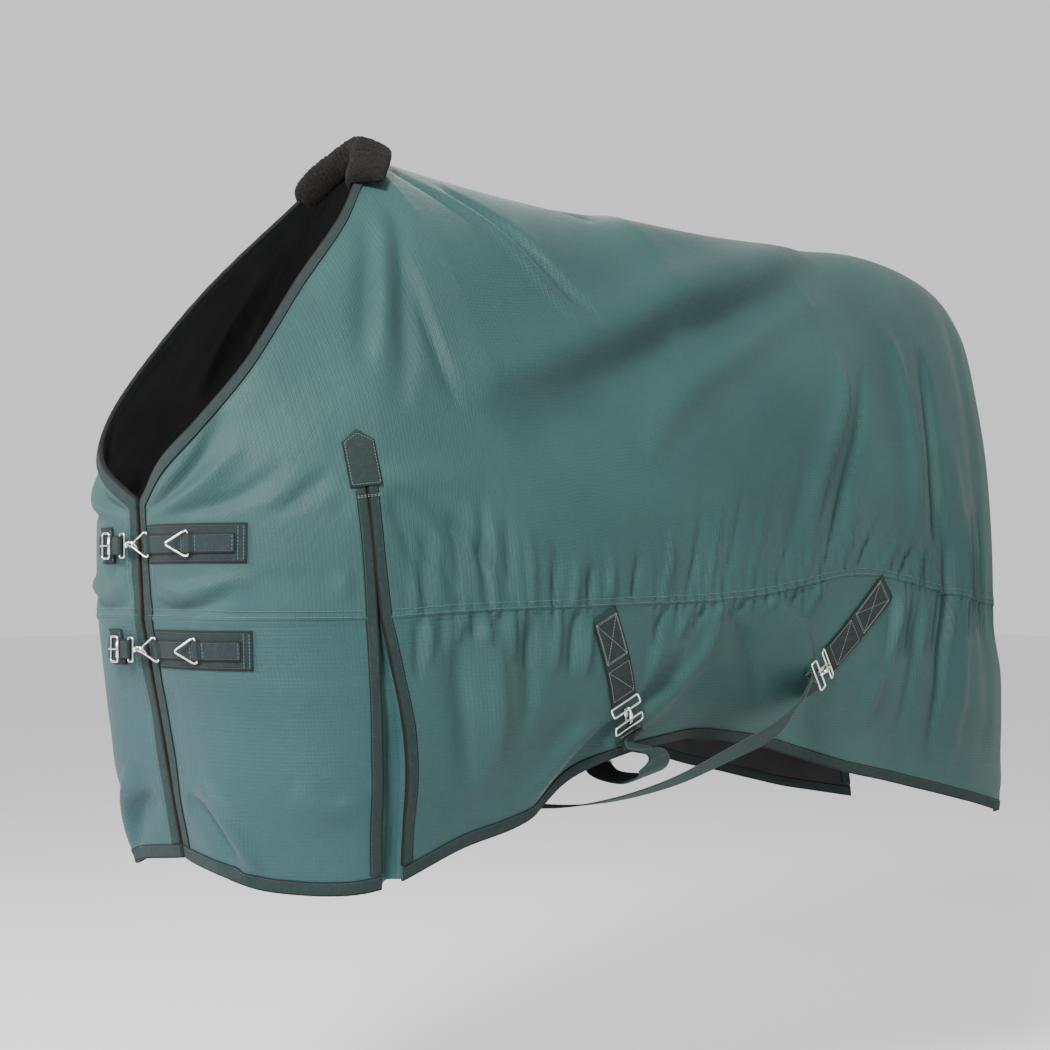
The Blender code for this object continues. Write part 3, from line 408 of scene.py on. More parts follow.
# creases: the points (u, v) they run through, depth in metres (out is positive), and width on each side
folds = [
    ([(6.42, 0.10), (6.62, 0.24), (6.80, 0.40), (6.95, 0.52)], -0.0055, 0.007, 0.024),
    ([(6.30, 0.12), (6.48, 0.26), (6.66, 0.42), (6.85, 0.55)], 0.0030, 0.020, 0.012),
    ([(9.25, 0.19), (8.50, 0.34), (7.60, 0.47), (6.70, 0.57), (5.60, 0.64)], 0.0130, 0.030, 0.062),
    ([(8.80, 0.40), (8.00, 0.50), (7.10, 0.62), (6.10, 0.72)], -0.0075, 0.055, 0.050),
    ([(8.90, 0.42), (8.20, 0.54), (7.50, 0.67), (7.15, 0.76)], 0.0065, 0.024, 0.036),
    ([(6.10, 0.06), (6.28, 0.16), (6.40, 0.26)], -0.0030, 0.008, 0.012),
    ([(5.38, 0.28), (5.32, 0.40), (5.34, 0.52), (5.44, 0.62)], -0.0040, 0.006, 0.017),
    ([(5.55, 0.16), (5.25, 0.28), (4.95, 0.42), (4.60, 0.54)], -0.0050, 0.012, 0.028),
    ([(5.40, 0.12), (5.02, 0.24), (4.55, 0.40)], 0.0045, 0.020, 0.020),
    ([(5.20, 0.10), (4.72, 0.22), (4.30, 0.40)], -0.0035, 0.014, 0.020),
    ([(4.25, 0.70), (4.85, 0.78), (5.40, 0.88), (5.80, 0.97)], -0.0050, 0.007, 0.022),
    ([(4.25, 0.72), (4.70, 0.84), (5.05, 0.96)], -0.0035, 0.010, 0.016),
    ([(4.30, 0.74), (4.50, 0.86), (4.62, 0.97)], -0.0030, 0.008, 0.014),
    ([(4.22, 0.67), (4.90, 0.71), (5.60, 0.78)], 0.0035, 0.016, 0.020),
    ([(3.78, 0.68), (3.50, 0.76), (3.25, 0.86)], -0.0035, 0.010, 0.016),
    ([(3.80, 0.72), (3.64, 0.84), (3.56, 0.95)], 0.0025, 0.010, 0.014),
    ([(9.00, 0.56), (8.90, 0.68), (8.62, 0.82), (8.45, 0.94)], 0.0065, 0.014, 0.026),
    ([(9.25, 0.58), (9.12, 0.70), (8.88, 0.84), (8.70, 0.95)], -0.0060, 0.012, 0.022),
    ([(9.62, 0.48), (9.66, 0.64), (9.66, 0.80), (9.55, 0.95)], 0.0065, 0.018, 0.024),
    ([(10.00, 0.52), (10.04, 0.68), (10.00, 0.84), (9.90, 0.97)], -0.0080, 0.010, 0.030),
    ([(10.00, 0.76), (10.12, 0.97), (10.08, 1.12), (9.98, 1.45), (9.88, 1.86)], -0.0080, 0.009, 0.030),
    ([(10.30, 0.70), (10.34, 1.00), (10.26, 1.40), (10.16, 1.86)], 0.0050, 0.024, 0.034),
    ([(10.75, 0.30), (10.80, 0.70), (10.85, 1.20), (10.75, 1.80)], -0.0040, 0.030, 0.036),
    ([(11.30, 0.35), (11.30, 0.85), (11.35, 1.35), (11.40, 1.90)], 0.0045, 0.026, 0.036),
    ([(5.85, 1.90), (6.45, 1.76), (7.00, 1.50), (7.30, 1.22)], 0.0060, 0.018, 0.028),
    ([(6.10, 1.96), (6.75, 1.84), (7.20, 1.62), (7.48, 1.30)], -0.0050, 0.014, 0.024),
    ([(6.90, 1.86), (7.32, 1.68), (7.60, 1.36), (7.72, 1.10)], 0.0045, 0.013, 0.022),
    ([(5.10, 1.05), (5.05, 1.35), (5.12, 1.75)], -0.0050, 0.018, 0.026),
    ([(5.55, 1.06), (5.56, 1.34), (5.50, 1.70)], 0.0045, 0.020, 0.024),
    ([(5.98, 1.04), (6.02, 1.30), (5.92, 1.60)], -0.0045, 0.016, 0.024),
    ([(7.80, 1.05), (8.05, 1.35), (8.25, 1.70)], -0.0050, 0.016, 0.026),
    ([(8.15, 1.03), (8.45, 1.26), (8.62, 1.52)], 0.0045, 0.014, 0.022),
    ([(9.40, 1.06), (9.32, 1.34), (9.10, 1.78)], 0.0055, 0.018, 0.026),
    ([(9.65, 1.06), (9.62, 1.36), (9.50, 1.80)], -0.0045, 0.014, 0.024),
    ([(0.05, 0.22), (0.90, 0.27), (1.70, 0.22), (2.40, 0.10)], -0.0045, 0.008, 0.018),
    ([(0.05, 0.28), (1.00, 0.36), (1.90, 0.36), (2.60, 0.28)], 0.0040, 0.012, 0.018),
    ([(0.10, 0.32), (1.10, 0.45), (2.20, 0.50), (3.10, 0.48)], -0.0030, 0.010, 0.020),
    ([(2.35, 0.66), (2.80, 0.64), (3.30, 0.60), (3.70, 0.58)], -0.0035, 0.010, 0.018),
    ([(2.20, 0.76), (2.75, 0.80), (3.25, 0.83)], -0.0035, 0.009, 0.016),
    ([(0.45, 0.80), (1.10, 0.86), (1.90, 0.84), (2.60, 0.80)], 0.0035, 0.012, 0.016),
    ([(0.30, 0.90), (0.90, 0.94), (1.60, 0.92), (2.20, 0.86)], -0.0030, 0.008, 0.014),
    ([(0.40, 1.72), (0.95, 1.80), (1.45, 1.96)], -0.0060, 0.012, 0.024),
    ([(0.70, 1.62), (1.30, 1.76), (1.80, 1.95)], 0.0050, 0.016, 0.024),
    ([(2.60, 1.60), (3.10, 1.68), (3.60, 1.66)], 0.0030, 0.016, 0.022),
    ([(7.20, 0.06), (7.32, 0.12), (7.40, 0.19)], -0.0030, 0.008, 0.012),
    ([(7.62, 0.05), (7.70, 0.10), (7.76, 0.16)], -0.0028, 0.007, 0.011),
]
gathers = {"from": 4.45, "to": 10.9, "count": 34}


def gatherFolds():
    # short creases that fan up and down from the gathered seam
    made = []
    for i in range(gathers["count"]):
        share = i / (gathers["count"] - 1)
        u = gathers["from"] + (gathers["to"] - gathers["from"]) * share + 0.05 * math.sin(i * 5.1)
        chance = 0.5 + 0.5 * math.sin(i * 12.9898)
        lean = 0.05 + 0.30 * smooth(6.6, 8.6, u) * (1 - smooth(9.0, 9.8, u))
        reach = 0.07 + 0.14 * chance
        depth = (0.0020 + 0.0020 * (1 - chance)) * (-1 if i % 2 else 1)
        made.append(([(u, 1.0), (u + lean * 0.5, 1 - reach * 0.5), (u + lean, 1 - reach)], depth, 0.006,
                     0.010))
        drop = 0.12 + 0.26 * (1 - chance)
        made.append(([(u + 0.04, 1.0), (u + 0.03 - lean * 0.2, 1 + drop * 0.5), (u - lean * 0.3, 1 + drop)],
                     -depth, 0.007, 0.011))
    return made


def foldTrack(line):
    # the crease's own points on the smooth form
    steps = np.linspace(0, len(line) - 1, 8 * (len(line) - 1) + 1)
    uv = catmull(np.array(line), steps)
    return ribPoint(uv[:, 0], np.clip(uv[:, 1], 0, 2)), ribNormal(uv[:, 0], np.clip(uv[:, 1], 0, 2))


foldPress = {"depth": 2.3, "width": 0.84}
foldTracks = [(*foldTrack(line), depth * foldPress["depth"], narrow * foldPress["width"],
               wide * foldPress["width"])
              for line, depth, narrow, wide in folds + gatherFolds()]


def creaseHeight(points):
    # for each crease, depth times exp(-(distance / width)^2), narrower on one side, faded out at both ends
    flat = points.reshape(-1, 3)
    height = np.zeros(len(flat))
    for track, normals, depth, narrow, wide in foldTracks:
        margin = 2.6 * max(narrow, wide)
        near = np.all((flat > track.min(0) - margin) & (flat < track.max(0) + margin), axis=1)
        if not near.any():
            continue
        here = flat[near]
        best = np.full(len(here), np.inf)
        share, turn = np.zeros(len(here)), np.zeros(len(here))
        parts = len(track) - 1
        for k in range(parts):
            run = track[k + 1] - track[k]
            t = np.clip(((here - track[k]) @ run) / (run @ run), 0, 1)
            away = here - track[k] - t[:, None] * run
            distance = np.einsum("ij,ij->i", away, away)
            closer = distance < best
            best = np.where(closer, distance, best)
            share = np.where(closer, (k + t) / parts, share)
            turn = np.where(closer, away @ np.cross(run, normals[k]), turn)
        width = np.where(turn > 0, narrow, wide)
        fade = np.sin(math.pi * np.clip(share, 0, 1)) ** 0.6
        height[near] += depth * np.exp(-best / width ** 2) * fade
    return height.reshape(points.shape[:-1])


# parts of the cloth that lie flat under webbing: middle x and z, half sizes, side (0 is both)
calmZones = [(-0.30, -0.568, 0.115, 0.030, -1), (-0.30, -0.702, 0.115, 0.030, -1),
             (-0.33, -0.568, 0.07, 0.030, 1),
             (-0.33, -0.702, 0.07, 0.030, 1), (0.235, -0.725, 0.05, 0.075, 0), (0.795, -0.685, 0.085, 0.075,
                                                                                0),
             (-0.185, -0.455, 0.020, 0.035, 0)]


def foldHeight(base, u, v, side):
    # creases, a fine pucker each side of the seam, slow billows and a waving hem; still at the crest and
    # under webbing
    run = runAt(u)
    height = creaseHeight(base)
    beat = np.sin(run * 2 * math.pi / 0.0235 + 1.7 * np.sin(run * 21.0))
    beat = beat + 0.6 * np.sin(run * 2 * math.pi / 0.0151 + 2.0)
    strength = smooth(4.2, 5.2, u) * 0.0015 + 0.0004
    fall = np.where(v < 1, np.exp(-(1 - v) / 0.045), np.exp(-(v - 1) / 0.12))
    height = height + beat * strength * fall
    billow = np.sin(run * 9.1 + v * 5.3 + 0.6 * side) * np.sin(v * 7.1 - run * 3.3 + 1.1) * 0.0030
    billow = billow + np.sin(run * 17.0 - v * 9.0 + side) * np.sin(v * 12.0 + run * 5.0) * 0.0014
    height = height + billow
    hemWave = np.sin(run * 24.0 + 1.0 + 0.5 * side) + 0.6 * np.sin(run * 41.0 + 2.0)
    height = height + hemWave * 0.0026 * smooth(1.55, 2.0, v)
    x, z = base[..., 0], base[..., 2]
    calm = np.ones(x.shape)
    for middleX, middleZ, halfX, halfZ, which in calmZones:
        away = np.maximum(np.abs(x - middleX) - halfX, 0) ** 2 + np.maximum(np.abs(z - middleZ) - halfZ,
                                                                            0) ** 2
        zone = smooth(0.0, 0.022, np.sqrt(away))
        calm = calm * (zone if which == 0 else np.where(side * which > 0, zone, 1.0))
    calm = calm * np.where(u >= 5.4, smooth(0.0, 0.07, v), 1.0)
    edge = smooth(0.0, 0.35, u) * 0.75 + 0.25
    return height * calm * edge


# the slit's lips stand close at its top and part towards the hem; the rear lip bows
lips = {"close": 0.088, "open": -0.075, "reach": 0.34, "bow": 0.050}


def partSlit(u, v):
    down = smooth(slitV, 1.9, v)
    shut = lips["close"] + (lips["open"] - lips["close"]) * down
    bow = lips["bow"] * np.sin(2.6 * math.pi * np.clip((v - slitV) / (2.0 - slitV), 0, 1))
    below = smooth(slitV - 0.10, slitV + 0.02, v)
    front = np.exp(-np.maximum(slit[0] - u, 0) / lips["reach"]) * (u <= slit[0] + 1e-9)
    rear = np.exp(-np.maximum(u - slit[1], 0) / lips["reach"]) * (u >= slit[1] - 1e-9)
    inside = (u > slit[0] + 1e-9) & (u < slit[1] - 1e-9)
    share = np.clip((u - slit[0]) / (slit[1] - slit[0]), 0, 1)
    move = shut * front - (shut + bow * 0.9) * rear + np.where(inside, shut * (1 - 2 * share) - bow * share,
                                                               0)
    return u + move * below


def clothPoint(u, v, side, lift=0.0):
    # the rug's outer face: the smooth form, its creases out along its normal, and lift metres more
    u, v = np.broadcast_arrays(np.asarray(u, float), np.asarray(v, float))
    side = np.broadcast_to(np.asarray(side, float), u.shape)
    moved = partSlit(u, v)
    base = ribPoint(moved, v)
    height = foldHeight(base, moved, v, side) + lift
    point = base + ribNormal(moved, v) * height[..., None]
    return point * np.stack([np.ones(u.shape), side, np.ones(u.shape)], -1)


def clothNormal(u, v, side):
    u, v = np.broadcast_arrays(np.asarray(u, float), np.asarray(v, float))
    side = np.broadcast_to(np.asarray(side, float), u.shape)
    return ribNormal(partSlit(u, v), v) * np.stack([np.ones(u.shape), side, np.ones(u.shape)], -1)


# meshes

def putMesh(name, points, loops, sizes, uv, look, soft=True):
    mesh = bpy.data.meshes.new(name)
    mesh.vertices.add(len(points))
    mesh.vertices.foreach_set("co", np.asarray(points, np.float32).ravel())
    mesh.loops.add(len(loops))
    mesh.loops.foreach_set("vertex_index", np.asarray(loops, np.int32))
    mesh.polygons.add(len(sizes))
    mesh.polygons.foreach_set("loop_start", np.concatenate([[0], np.cumsum(sizes)[:-1]]).astype(np.int32))
    mesh.polygons.foreach_set("loop_total", np.asarray(sizes, np.int32))
    mesh.update(calc_edges=True)
    layer = mesh.uv_layers.new(name="metres")
    layer.data.foreach_set("uv", np.asarray(uv, np.float32)[loops].ravel())
    if soft:
        mesh.shade_smooth()
    mesh.materials.append(finishes[look])
    made = bpy.data.objects.new(name, mesh)
    bpy.context.scene.collection.objects.link(made)
    return made


def gridFaces(rows, columns, keep=None, aroundRows=False, aroundColumns=False):
    # four-sided faces between neighbouring points of a grid, rows by columns, wrapped round where asked
    index = np.arange(rows * columns).reshape(rows, columns)
    if aroundRows:
        index = np.vstack([index, index[:1]])
    if aroundColumns:
        index = np.hstack([index, index[:, :1]])
    faces = np.stack([index[:-1, :-1], index[:-1, 1:], index[1:, 1:], index[1:, :-1]], -1)
    return faces.reshape(-1, 4) if keep is None else faces[keep]


def settle(made, outward=None):
    # merge what meets and turn the faces out; an open sheet is turned by the side it should show
    bm = bmesh.new()
    bm.from_mesh(made.data)
    bmesh.ops.remove_doubles(bm, verts=bm.verts, dist=2e-6)
    bmesh.ops.recalc_face_normals(bm, faces=bm.faces)
    if outward is None:
        turned = bm.calc_volume(signed=True) < 0
    else:
        turned = sum(f.normal.dot(outward(f.calc_center_median())) for f in bm.faces) < 0
    if turned:
        bmesh.ops.reverse_faces(bm, faces=bm.faces)
    bm.to_mesh(made.data)
    bm.free()
    return made


def placeOn(made, body, slotName, *nodes):
    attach(made, body)
    if nodes:
        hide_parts(*nodes)
    return made


def fromMiddle(point):
    return Vector((point.x * 0.3 - 0.1, point.y, (point.z + 0.55) * 0.6))


def clothSheet(name, us, vs, sides, lift, thickness, look, keep=None):
    # a sheet over the grid of us and vs, on one side or on both and joined along the crest
    parts, loops, uvs, start = [], [], [], 0
    for side in sides:
        u, v = np.meshgrid(us, vs)
        points = clothPoint(u, v, side, lift(u, v) if callable(lift) else lift)
        if vs[0] == 0.0:
            points[0, us >= 6.0, 1] = 0.0
        down = np.vstack([np.zeros(len(us)),
                          np.cumsum(np.linalg.norm(np.diff(points, axis=0), axis=2), axis=0)])
        faces = gridFaces(len(vs), len(us), keep)
        parts.append(points.reshape(-1, 3))
        uvs.append(np.stack([runAt(u) * np.ones(u.shape), down + (0.0 if vs[0] == 0 else 0.9)],
                            -1).reshape(-1, 2))
        loops.append((faces[:, ::-1] if side > 0 else faces) + start)
        start += points.shape[0] * points.shape[1]
    loops = np.vstack(loops)
    made = putMesh(name, np.vstack(parts), loops.ravel(), np.full(len(loops), 4), np.vstack(uvs), look)
    settle(made, fromMiddle)
    wall = made.modifiers.new("wall", "SOLIDIFY")
    wall.thickness, wall.offset = thickness, -1.0
    return made


clothMake = {"shell": 0.0013, "lining": 0.0010, "liningDrop": 0.0024, "liningSag": 0.0042, "step": 0.0056,
             "fineStep": 0.0044,
             "liningStep": 0.0085, "seamLap": 0.018, "seamRise": 0.0012, "seamSink": 0.0006}


def spread(low, high, step):
    # values of u about step metres apart along the seam
    count = max(2, int(round((runAt(high) - runAt(low)) / step)) + 1)
    values = uAtRun(np.linspace(runAt(low), runAt(high), count))
    values[0], values[-1] = low, high
    return values


def seamShape(u, v):
    # the upper cloth laps over the lower: it stands up along the seam, and the lower one starts under it
    over = smooth(1 - clothMake["seamLap"] * 1.3, 1 - clothMake["seamLap"] * 0.5, v) * clothMake["seamRise"]
    return np.where(v <= 1.0, over, -clothMake["seamSink"] * (1 - smooth(1.0, 1.05, v)))


def liningLift(u, v):
    # the lining hangs free of the shell inside the rug and comes up to it at every edge
    free = smooth(0.02, 0.12, v) * (1 - smooth(1.88, 1.96, v)) * smooth(0.1, 0.5,
                                                                        u) * (1 - smooth(11.5, 11.9, u))
    return -clothMake["liningDrop"] - clothMake["liningSag"] * free * smooth(0.10, 0.30,
                                                                             np.abs(u - rug["gusset"]))


def makeCloth():
    lowRows = np.concatenate([np.linspace(1.0, 1.12, 11), np.linspace(1.12, 2.0, 54)[1:]])
    upRows = np.concatenate([np.linspace(0, slitV, 36), np.linspace(slitV, 0.93, 14)[1:],
                             np.linspace(0.93, 1, 11)[1:]])
    us = np.concatenate([spread(0, slit[0], clothMake["step"]), [rug["gusset"]],
                         spread(slit[1], 12, clothMake["step"])])
    u, v = np.meshgrid((us[:-1] + us[1:]) / 2, (upRows[:-1] + upRows[1:]) / 2)
    keep = ~((u > slit[0]) & (u < slit[1]) & (v > slitV))
    back = clothSheet("backPanel", us, upRows, (-1, 1), seamShape, clothMake["shell"], "cloth", keep)
    placeOn(back, "rug", "cloth", "back_panel")
    allRows = np.concatenate([np.linspace(0, slitV, 28), np.linspace(slitV, 1, 12)[1:],
                              np.linspace(1, 2, 28)[1:]])
    us = np.concatenate([spread(0, slit[0], clothMake["liningStep"]), [rug["gusset"]],
                         spread(slit[1], 12, clothMake["liningStep"])])
    u, v = np.meshgrid((us[:-1] + us[1:]) / 2, (allRows[:-1] + allRows[1:]) / 2)
    keep = ~((u > slit[0]) & (u < slit[1]) & (v > slitV))
    inner = clothSheet("darkLining", us, allRows, (-1, 1), liningLift, clothMake["lining"], "lining", keep)
    placeOn(inner, "rug", "lining", "lining")
    for side, word in ((-1, "left"), (1, "right")):
        chest = clothSheet("chestPanel_" + word, spread(0, slit[0], clothMake["fineStep"]), lowRows, (side,),
                           seamShape,
                           clothMake["shell"], "cloth")
        placeOn(chest, "rug", "cloth", "chest_panel_" + word)
        low = clothSheet("sidePanel_" + word, spread(slit[1], 12, clothMake["fineStep"]), lowRows, (side,),
                         seamShape,
                         clothMake["shell"], "cloth")
        placeOn(low, "rug", "cloth", "side_panel_" + word)


def makeGussets():
    # the pleat of cloth behind the slit: it sinks between the lips, more towards the hem
    vs = np.linspace(slitV - 0.004, 1.995, 110)
    share = np.linspace(-0.18, 1.18, 17)
    for side, word in ((-1, "left"), (1, "right")):
        first, last = partSlit(np.full(110, slit[0]), vs), partSlit(np.full(110, slit[1]), vs)
        v, t = np.meshgrid(vs, share, indexing="ij")
        u = first[:, None] + (last - first)[:, None] * t
        base, normal = ribPoint(u, v), ribNormal(u, v)
        inside = np.clip(t, 0, 1)
        sink = 0.0016 + (0.003 + 0.013 * smooth(slitV, 1.6, v)) * np.sin(math.pi * inside) ** 1.4
        sink = sink + 0.0020 * np.sin(v * 17.0 + t * 3.0) * np.sin(math.pi * inside)
        points = base - normal * sink[..., None]
        points = points * (1, side, 1)
        uv = np.stack([t * 0.04, v * 0.4], -1).reshape(-1, 2)
        faces = gridFaces(*v.shape)
        faces = faces[:, ::-1] if side > 0 else faces
        made = putMesh("gussetPleat_" + word, points.reshape(-1, 3), faces.ravel(), np.full(len(faces), 4),
                       uv, "cloth")
        settle(made, fromMiddle)
        wall = made.modifiers.new("wall", "SOLIDIFY")
        wall.thickness, wall.offset = 0.0010, -1.0
        placeOn(made, "rug", "cloth", "gusset_" + word)


makeCloth()
print("cloth draped")


# bindings: a tape folded round each edge and sewn through

binding = {"width": 0.018, "tape": 0.0010, "gap": 0.0003, "stack": 0.0036, "beyond": 0.0016, "dome": 0.0005,
           "slitWidth": 0.0150, "station": 0.0055, "stitchIn": 0.0022}


def tapeProfile(width):
    # a U: over the outer leg from its inner end, round the edge, back along the inner leg, and the same
    # inside
    tape, gap, stack = binding["tape"], binding["gap"], binding["stack"]
    a = np.linspace(width, 0, 7)
    outer = np.stack([a, gap + tape + binding["dome"] * np.sin(math.pi * a / width)], -1)
    outer[0, 1] -= tape * 0.35
    bend = np.linspace(0, math.pi, 8)[1:-1]
    high = stack / 2 + gap + tape
    edge = np.stack([-binding["beyond"] * np.sin(bend), -stack / 2 + high * np.cos(bend)], -1)
    inner = outer[::-1] * (1, -1) - (0, stack)
    under = np.array([(width - 0.0004, -stack - gap), (0.0004, -stack - gap), (0.0004, gap),
                      (width - 0.0004, gap)])
    return np.vstack([outer, edge, inner, under])


def edgeTape(name, u, v, side, du, dv, width, nodes, straight=None, look="tape"):
    # the profile carried along an edge of the cloth: its legs follow the cloth itself inwards, by du and dv
    # for
    # each metre; near the withers the legs run straight back instead
    profile = tapeProfile(width)
    a, h = profile[:, 0], profile[:, 1]
    inside = np.maximum(a, 0)[None, :]
    uu, vv = u[:, None] + du[:, None] * inside, v[:, None] + dv[:, None] * inside
    ss = np.broadcast_to(side[:, None], uu.shape)
    follow = clothPoint(uu, vv, ss)
    normals = clothNormal(uu, vv, ss)
    start = clothPoint(u, v, side)
    ahead = clothPoint(u + du * 0.004, v + dv * 0.004, side)
    inward = unit(ahead - start)
    length = runLength(start)
    if straight is not None:
        along = unit(np.gradient(start, axis=0))
        up = unit(np.array([0, 0, 1.0]) - along * along[:, 2:3])
        back = np.cross(up, along)
        back = back * np.sign(back[:, :1] + 1e-9)
        share = straight[:, None, None]
        follow = follow * (1 - share) + (start[:, None, :] + back[:, None, :] * inside[..., None]) * share
        normals = unit(normals * (1 - share) + up[:, None, :] * share)
        inward = unit(inward * (1 - straight[:, None]) + back * straight[:, None])
    ripple = 0.00022 * np.sin(length * 2 * math.pi / 0.0105 + np.sin(length * 60))
    points = follow + normals * (h[None, :, None] + (ripple[:, None] * np.sign(h)[None, :])[..., None])
    points = points + inward[:, None, :] * np.minimum(a, 0)[None, :, None]
    across = np.abs(np.maximum(a, 0) - width / 2)
    uv = np.stack(np.broadcast_arrays(length[:, None], (across * (binding["width"] / width))[None, :]), -1)
    tapeMesh = sweepMesh(name, points, uv, look)
    placeOn(tapeMesh, "rug", "binding", *nodes)
    rowAt = width - binding["stitchIn"]
    rowU, rowV = u + du * rowAt, v + dv * rowAt
    row = clothPoint(rowU, rowV, side)
    up = clothNormal(rowU, rowV, side)
    if straight is not None:
        row = row * (1 - straight[:, None]) + (start + back * rowAt) * straight[:, None]
    sewing.append((row + up * (binding["gap"] + binding["tape"] + 0.0001), up))
    under = row - up * (binding["stack"] + binding["gap"] + binding["tape"] + 0.0001)
    sewing.append((under, -up))
    return tapeMesh


def sweepMesh(name, points, uv, look, closed=False, settled=True):
    # a tube from rings of points, one row a station, with a face over each end
    rows, columns = points.shape[:2]
    faces = gridFaces(rows, columns, None, closed, True)
    loops, sizes = faces.ravel(), np.full(len(faces), 4)
    if not closed:
        first, last = np.arange(columns), np.arange(columns) + (rows - 1) * columns
        loops = np.concatenate([loops, first, last[::-1]])
        sizes = np.concatenate([sizes, [columns, columns]])
    made = putMesh(name, points.reshape(-1, 3), loops, sizes, uv.reshape(-1, 2), look)
    return settle(made) if settled else made


sewing, paleSewing, greenSewing = [], [], []


def perMetreV(u, v, side, step):
    return step / np.linalg.norm(clothPoint(u, v + step, side) - clothPoint(u, v, side), axis=-1)


def perMetreU(u, v, side, step):
    return step / np.linalg.norm(clothPoint(u + step, v, side) - clothPoint(u, v, side), axis=-1)


def makeBindings():
    near = spread(0.0, 6.0, binding["station"])
    u = np.concatenate([near, near[-2::-1]])
    side = np.concatenate([np.full(len(near) - 1, -1.0), [1.0], np.full(len(near) - 1, 1.0)])
    v = np.zeros(len(u))
    straight = smooth(5.25, 5.62, u)
    edgeTape("neckTape", u, v, side, np.zeros(len(u)), perMetreV(u, v, side, 0.01), binding["width"],
             ["neck_binding"], straight)
    for way, word in ((-1.0, "left"), (1.0, "right")):
        for low, high, part in ((0.0, slit[0], "front"), (slit[1], 12.0, "side")):
            u = spread(low, high, binding["station"])
            v, side = np.full(len(u), 2.0), np.full(len(u), way)
            edgeTape("hemTape_" + part + "_" + word, u, v, side, np.zeros(len(u)),
                     perMetreV(u, v, side, -0.01),
                     binding["width"], ["hem_binding_" + part + "_" + word])
        hemV = 2.0 - 1.05 * binding["width"] / 0.32
        uprights = [("frontTape_", 0.0, 0.052, 1, binding["width"], "front_binding_"),
                    ("rearTape_", 12.0, 0.02, -1, binding["width"], "rear_binding_"),
                    ("gussetTape_front_", slit[0], slitV + 0.008, -1, binding["slitWidth"],
                     "gusset_binding_front_"),
                    ("gussetTape_rear_", slit[1], slitV + 0.008, 1, binding["slitWidth"],
                     "gusset_binding_rear_")]
        for name, place, top, inwards, width, node in uprights:
            v = np.linspace(top, hemV, 150)
            u, side = np.full(150, place), np.full(150, way)
            du = perMetreU(u, v, side, 0.01 * inwards)
            edgeTape(name + word, u, v, side, du, np.zeros(150), width, [node + word])


makeBindings()
makeGussets()
print("edges bound")


# the pad over the withers

pad = {"from": 5.30, "rear": 0.044, "under": 0.020, "crown": 0.0185, "thin": 0.0045, "nose": 0.0150,
       "clear": 0.0022,
       "around": 34, "along": 110, "tuft": 0.0011}


def makeFleece():
    # a padded fold across the neckline: its thickness swells over the edge and thins to its sewn ends
    near = np.linspace(pad["from"], 6.0, pad["along"])
    u = np.concatenate([near, near[-2::-1]])
    side = np.concatenate([np.full(len(near) - 1, -1.0), np.full(len(near), 1.0)])
    start = ribPoint(u, 0.0) * np.stack([np.ones(len(u)), side, np.ones(len(u))], -1)
    along = unit(np.gradient(start, axis=0))
    up = unit(np.array([0, 0, 1.0]) - along * along[:, 2:3])
    back = np.cross(up, along)
    back = back * np.sign(back[:, :1] + 1e-9)
    length = runLength(start)
    share = length / length[-1]
    ends = np.clip(1 - np.abs(2 * share - 1) ** 10, 0.0, 1) ** 0.5
    low, high = -(binding["stack"] + 0.0016 + pad["clear"]), 0.0016 + pad["clear"]
    t = np.linspace(0, 1, pad["around"])
    legs = pad["rear"] + pad["under"]
    bend = 0.030
    run = t * (legs + bend) - pad["rear"]
    turn = np.clip(run / bend, 0, 1) * math.pi
    a = np.where(run < 0, -run, np.where(run > bend, run - bend, 0.0))
    middle, half = (low + high) / 2, (high - low) / 2
    swell = np.sin(math.pi * np.clip(t, 0, 1)) ** 0.55
    thick = pad["thin"] + (pad["crown"] - pad["thin"]) * swell
    outH = middle + (half + thick) * np.cos(turn)
    outA = a - (pad["nose"] * np.sin(turn)) * (thick / pad["crown"])
    inH = middle + half * np.cos(turn)
    inA = a - 0.0035 * np.sin(turn)
    scale = 0.25 + 0.75 * ends
    shapeH = np.concatenate([outH, inH[::-1]])
    shapeA = np.concatenate([outA, inA[::-1]])
    flatH = np.concatenate([inH, inH[::-1]])
    flatA = np.concatenate([inA, inA[::-1]])
    hh = flatH[None, :] + (shapeH - flatH)[None, :] * scale[:, None]
    aa = flatA[None, :] + (shapeA - flatA)[None, :] * scale[:, None]
    points = start[:, None, :] + back[:, None, :] * aa[..., None] + up[:, None, :] * hh[..., None]
    n = len(t)
    crown = np.concatenate([swell, np.zeros(n)])[None, :]
    x, y = length[:, None], np.concatenate([run, run[::-1]])[None, :]
    tuft = np.sin(x * 610 + 3 * np.sin(y * 240)) * np.sin(y * 560 + 2.5 * np.sin(x * 330))
    tuft = tuft + 0.6 * np.sin(x * 1210 + y * 700) * np.sin(y * 1130 - x * 400)
    lump = 0.0014 * np.sin(x * 75 + 1) * np.sin(y * 62 + 2)
    rise = (tuft * pad["tuft"] + lump) * crown * scale[:, None]
    points = points + up[:, None, :] * (rise * np.concatenate([np.cos(turn), np.cos(turn)])[None, :])[...,
                                                                                                      None]
    points = points - back[:, None, :] * (rise * np.concatenate([np.sin(turn), np.sin(turn)])[None, :])[...,
                                                                                                        None]
    uv = np.stack(np.broadcast_arrays(x, y), -1)
    made = sweepMesh("withersPad", points, uv, "fleece")
    placeOn(made, "rug", "fleece", "wither_fleece")


makeFleece()
print("withers pad made")


# webbing and wire

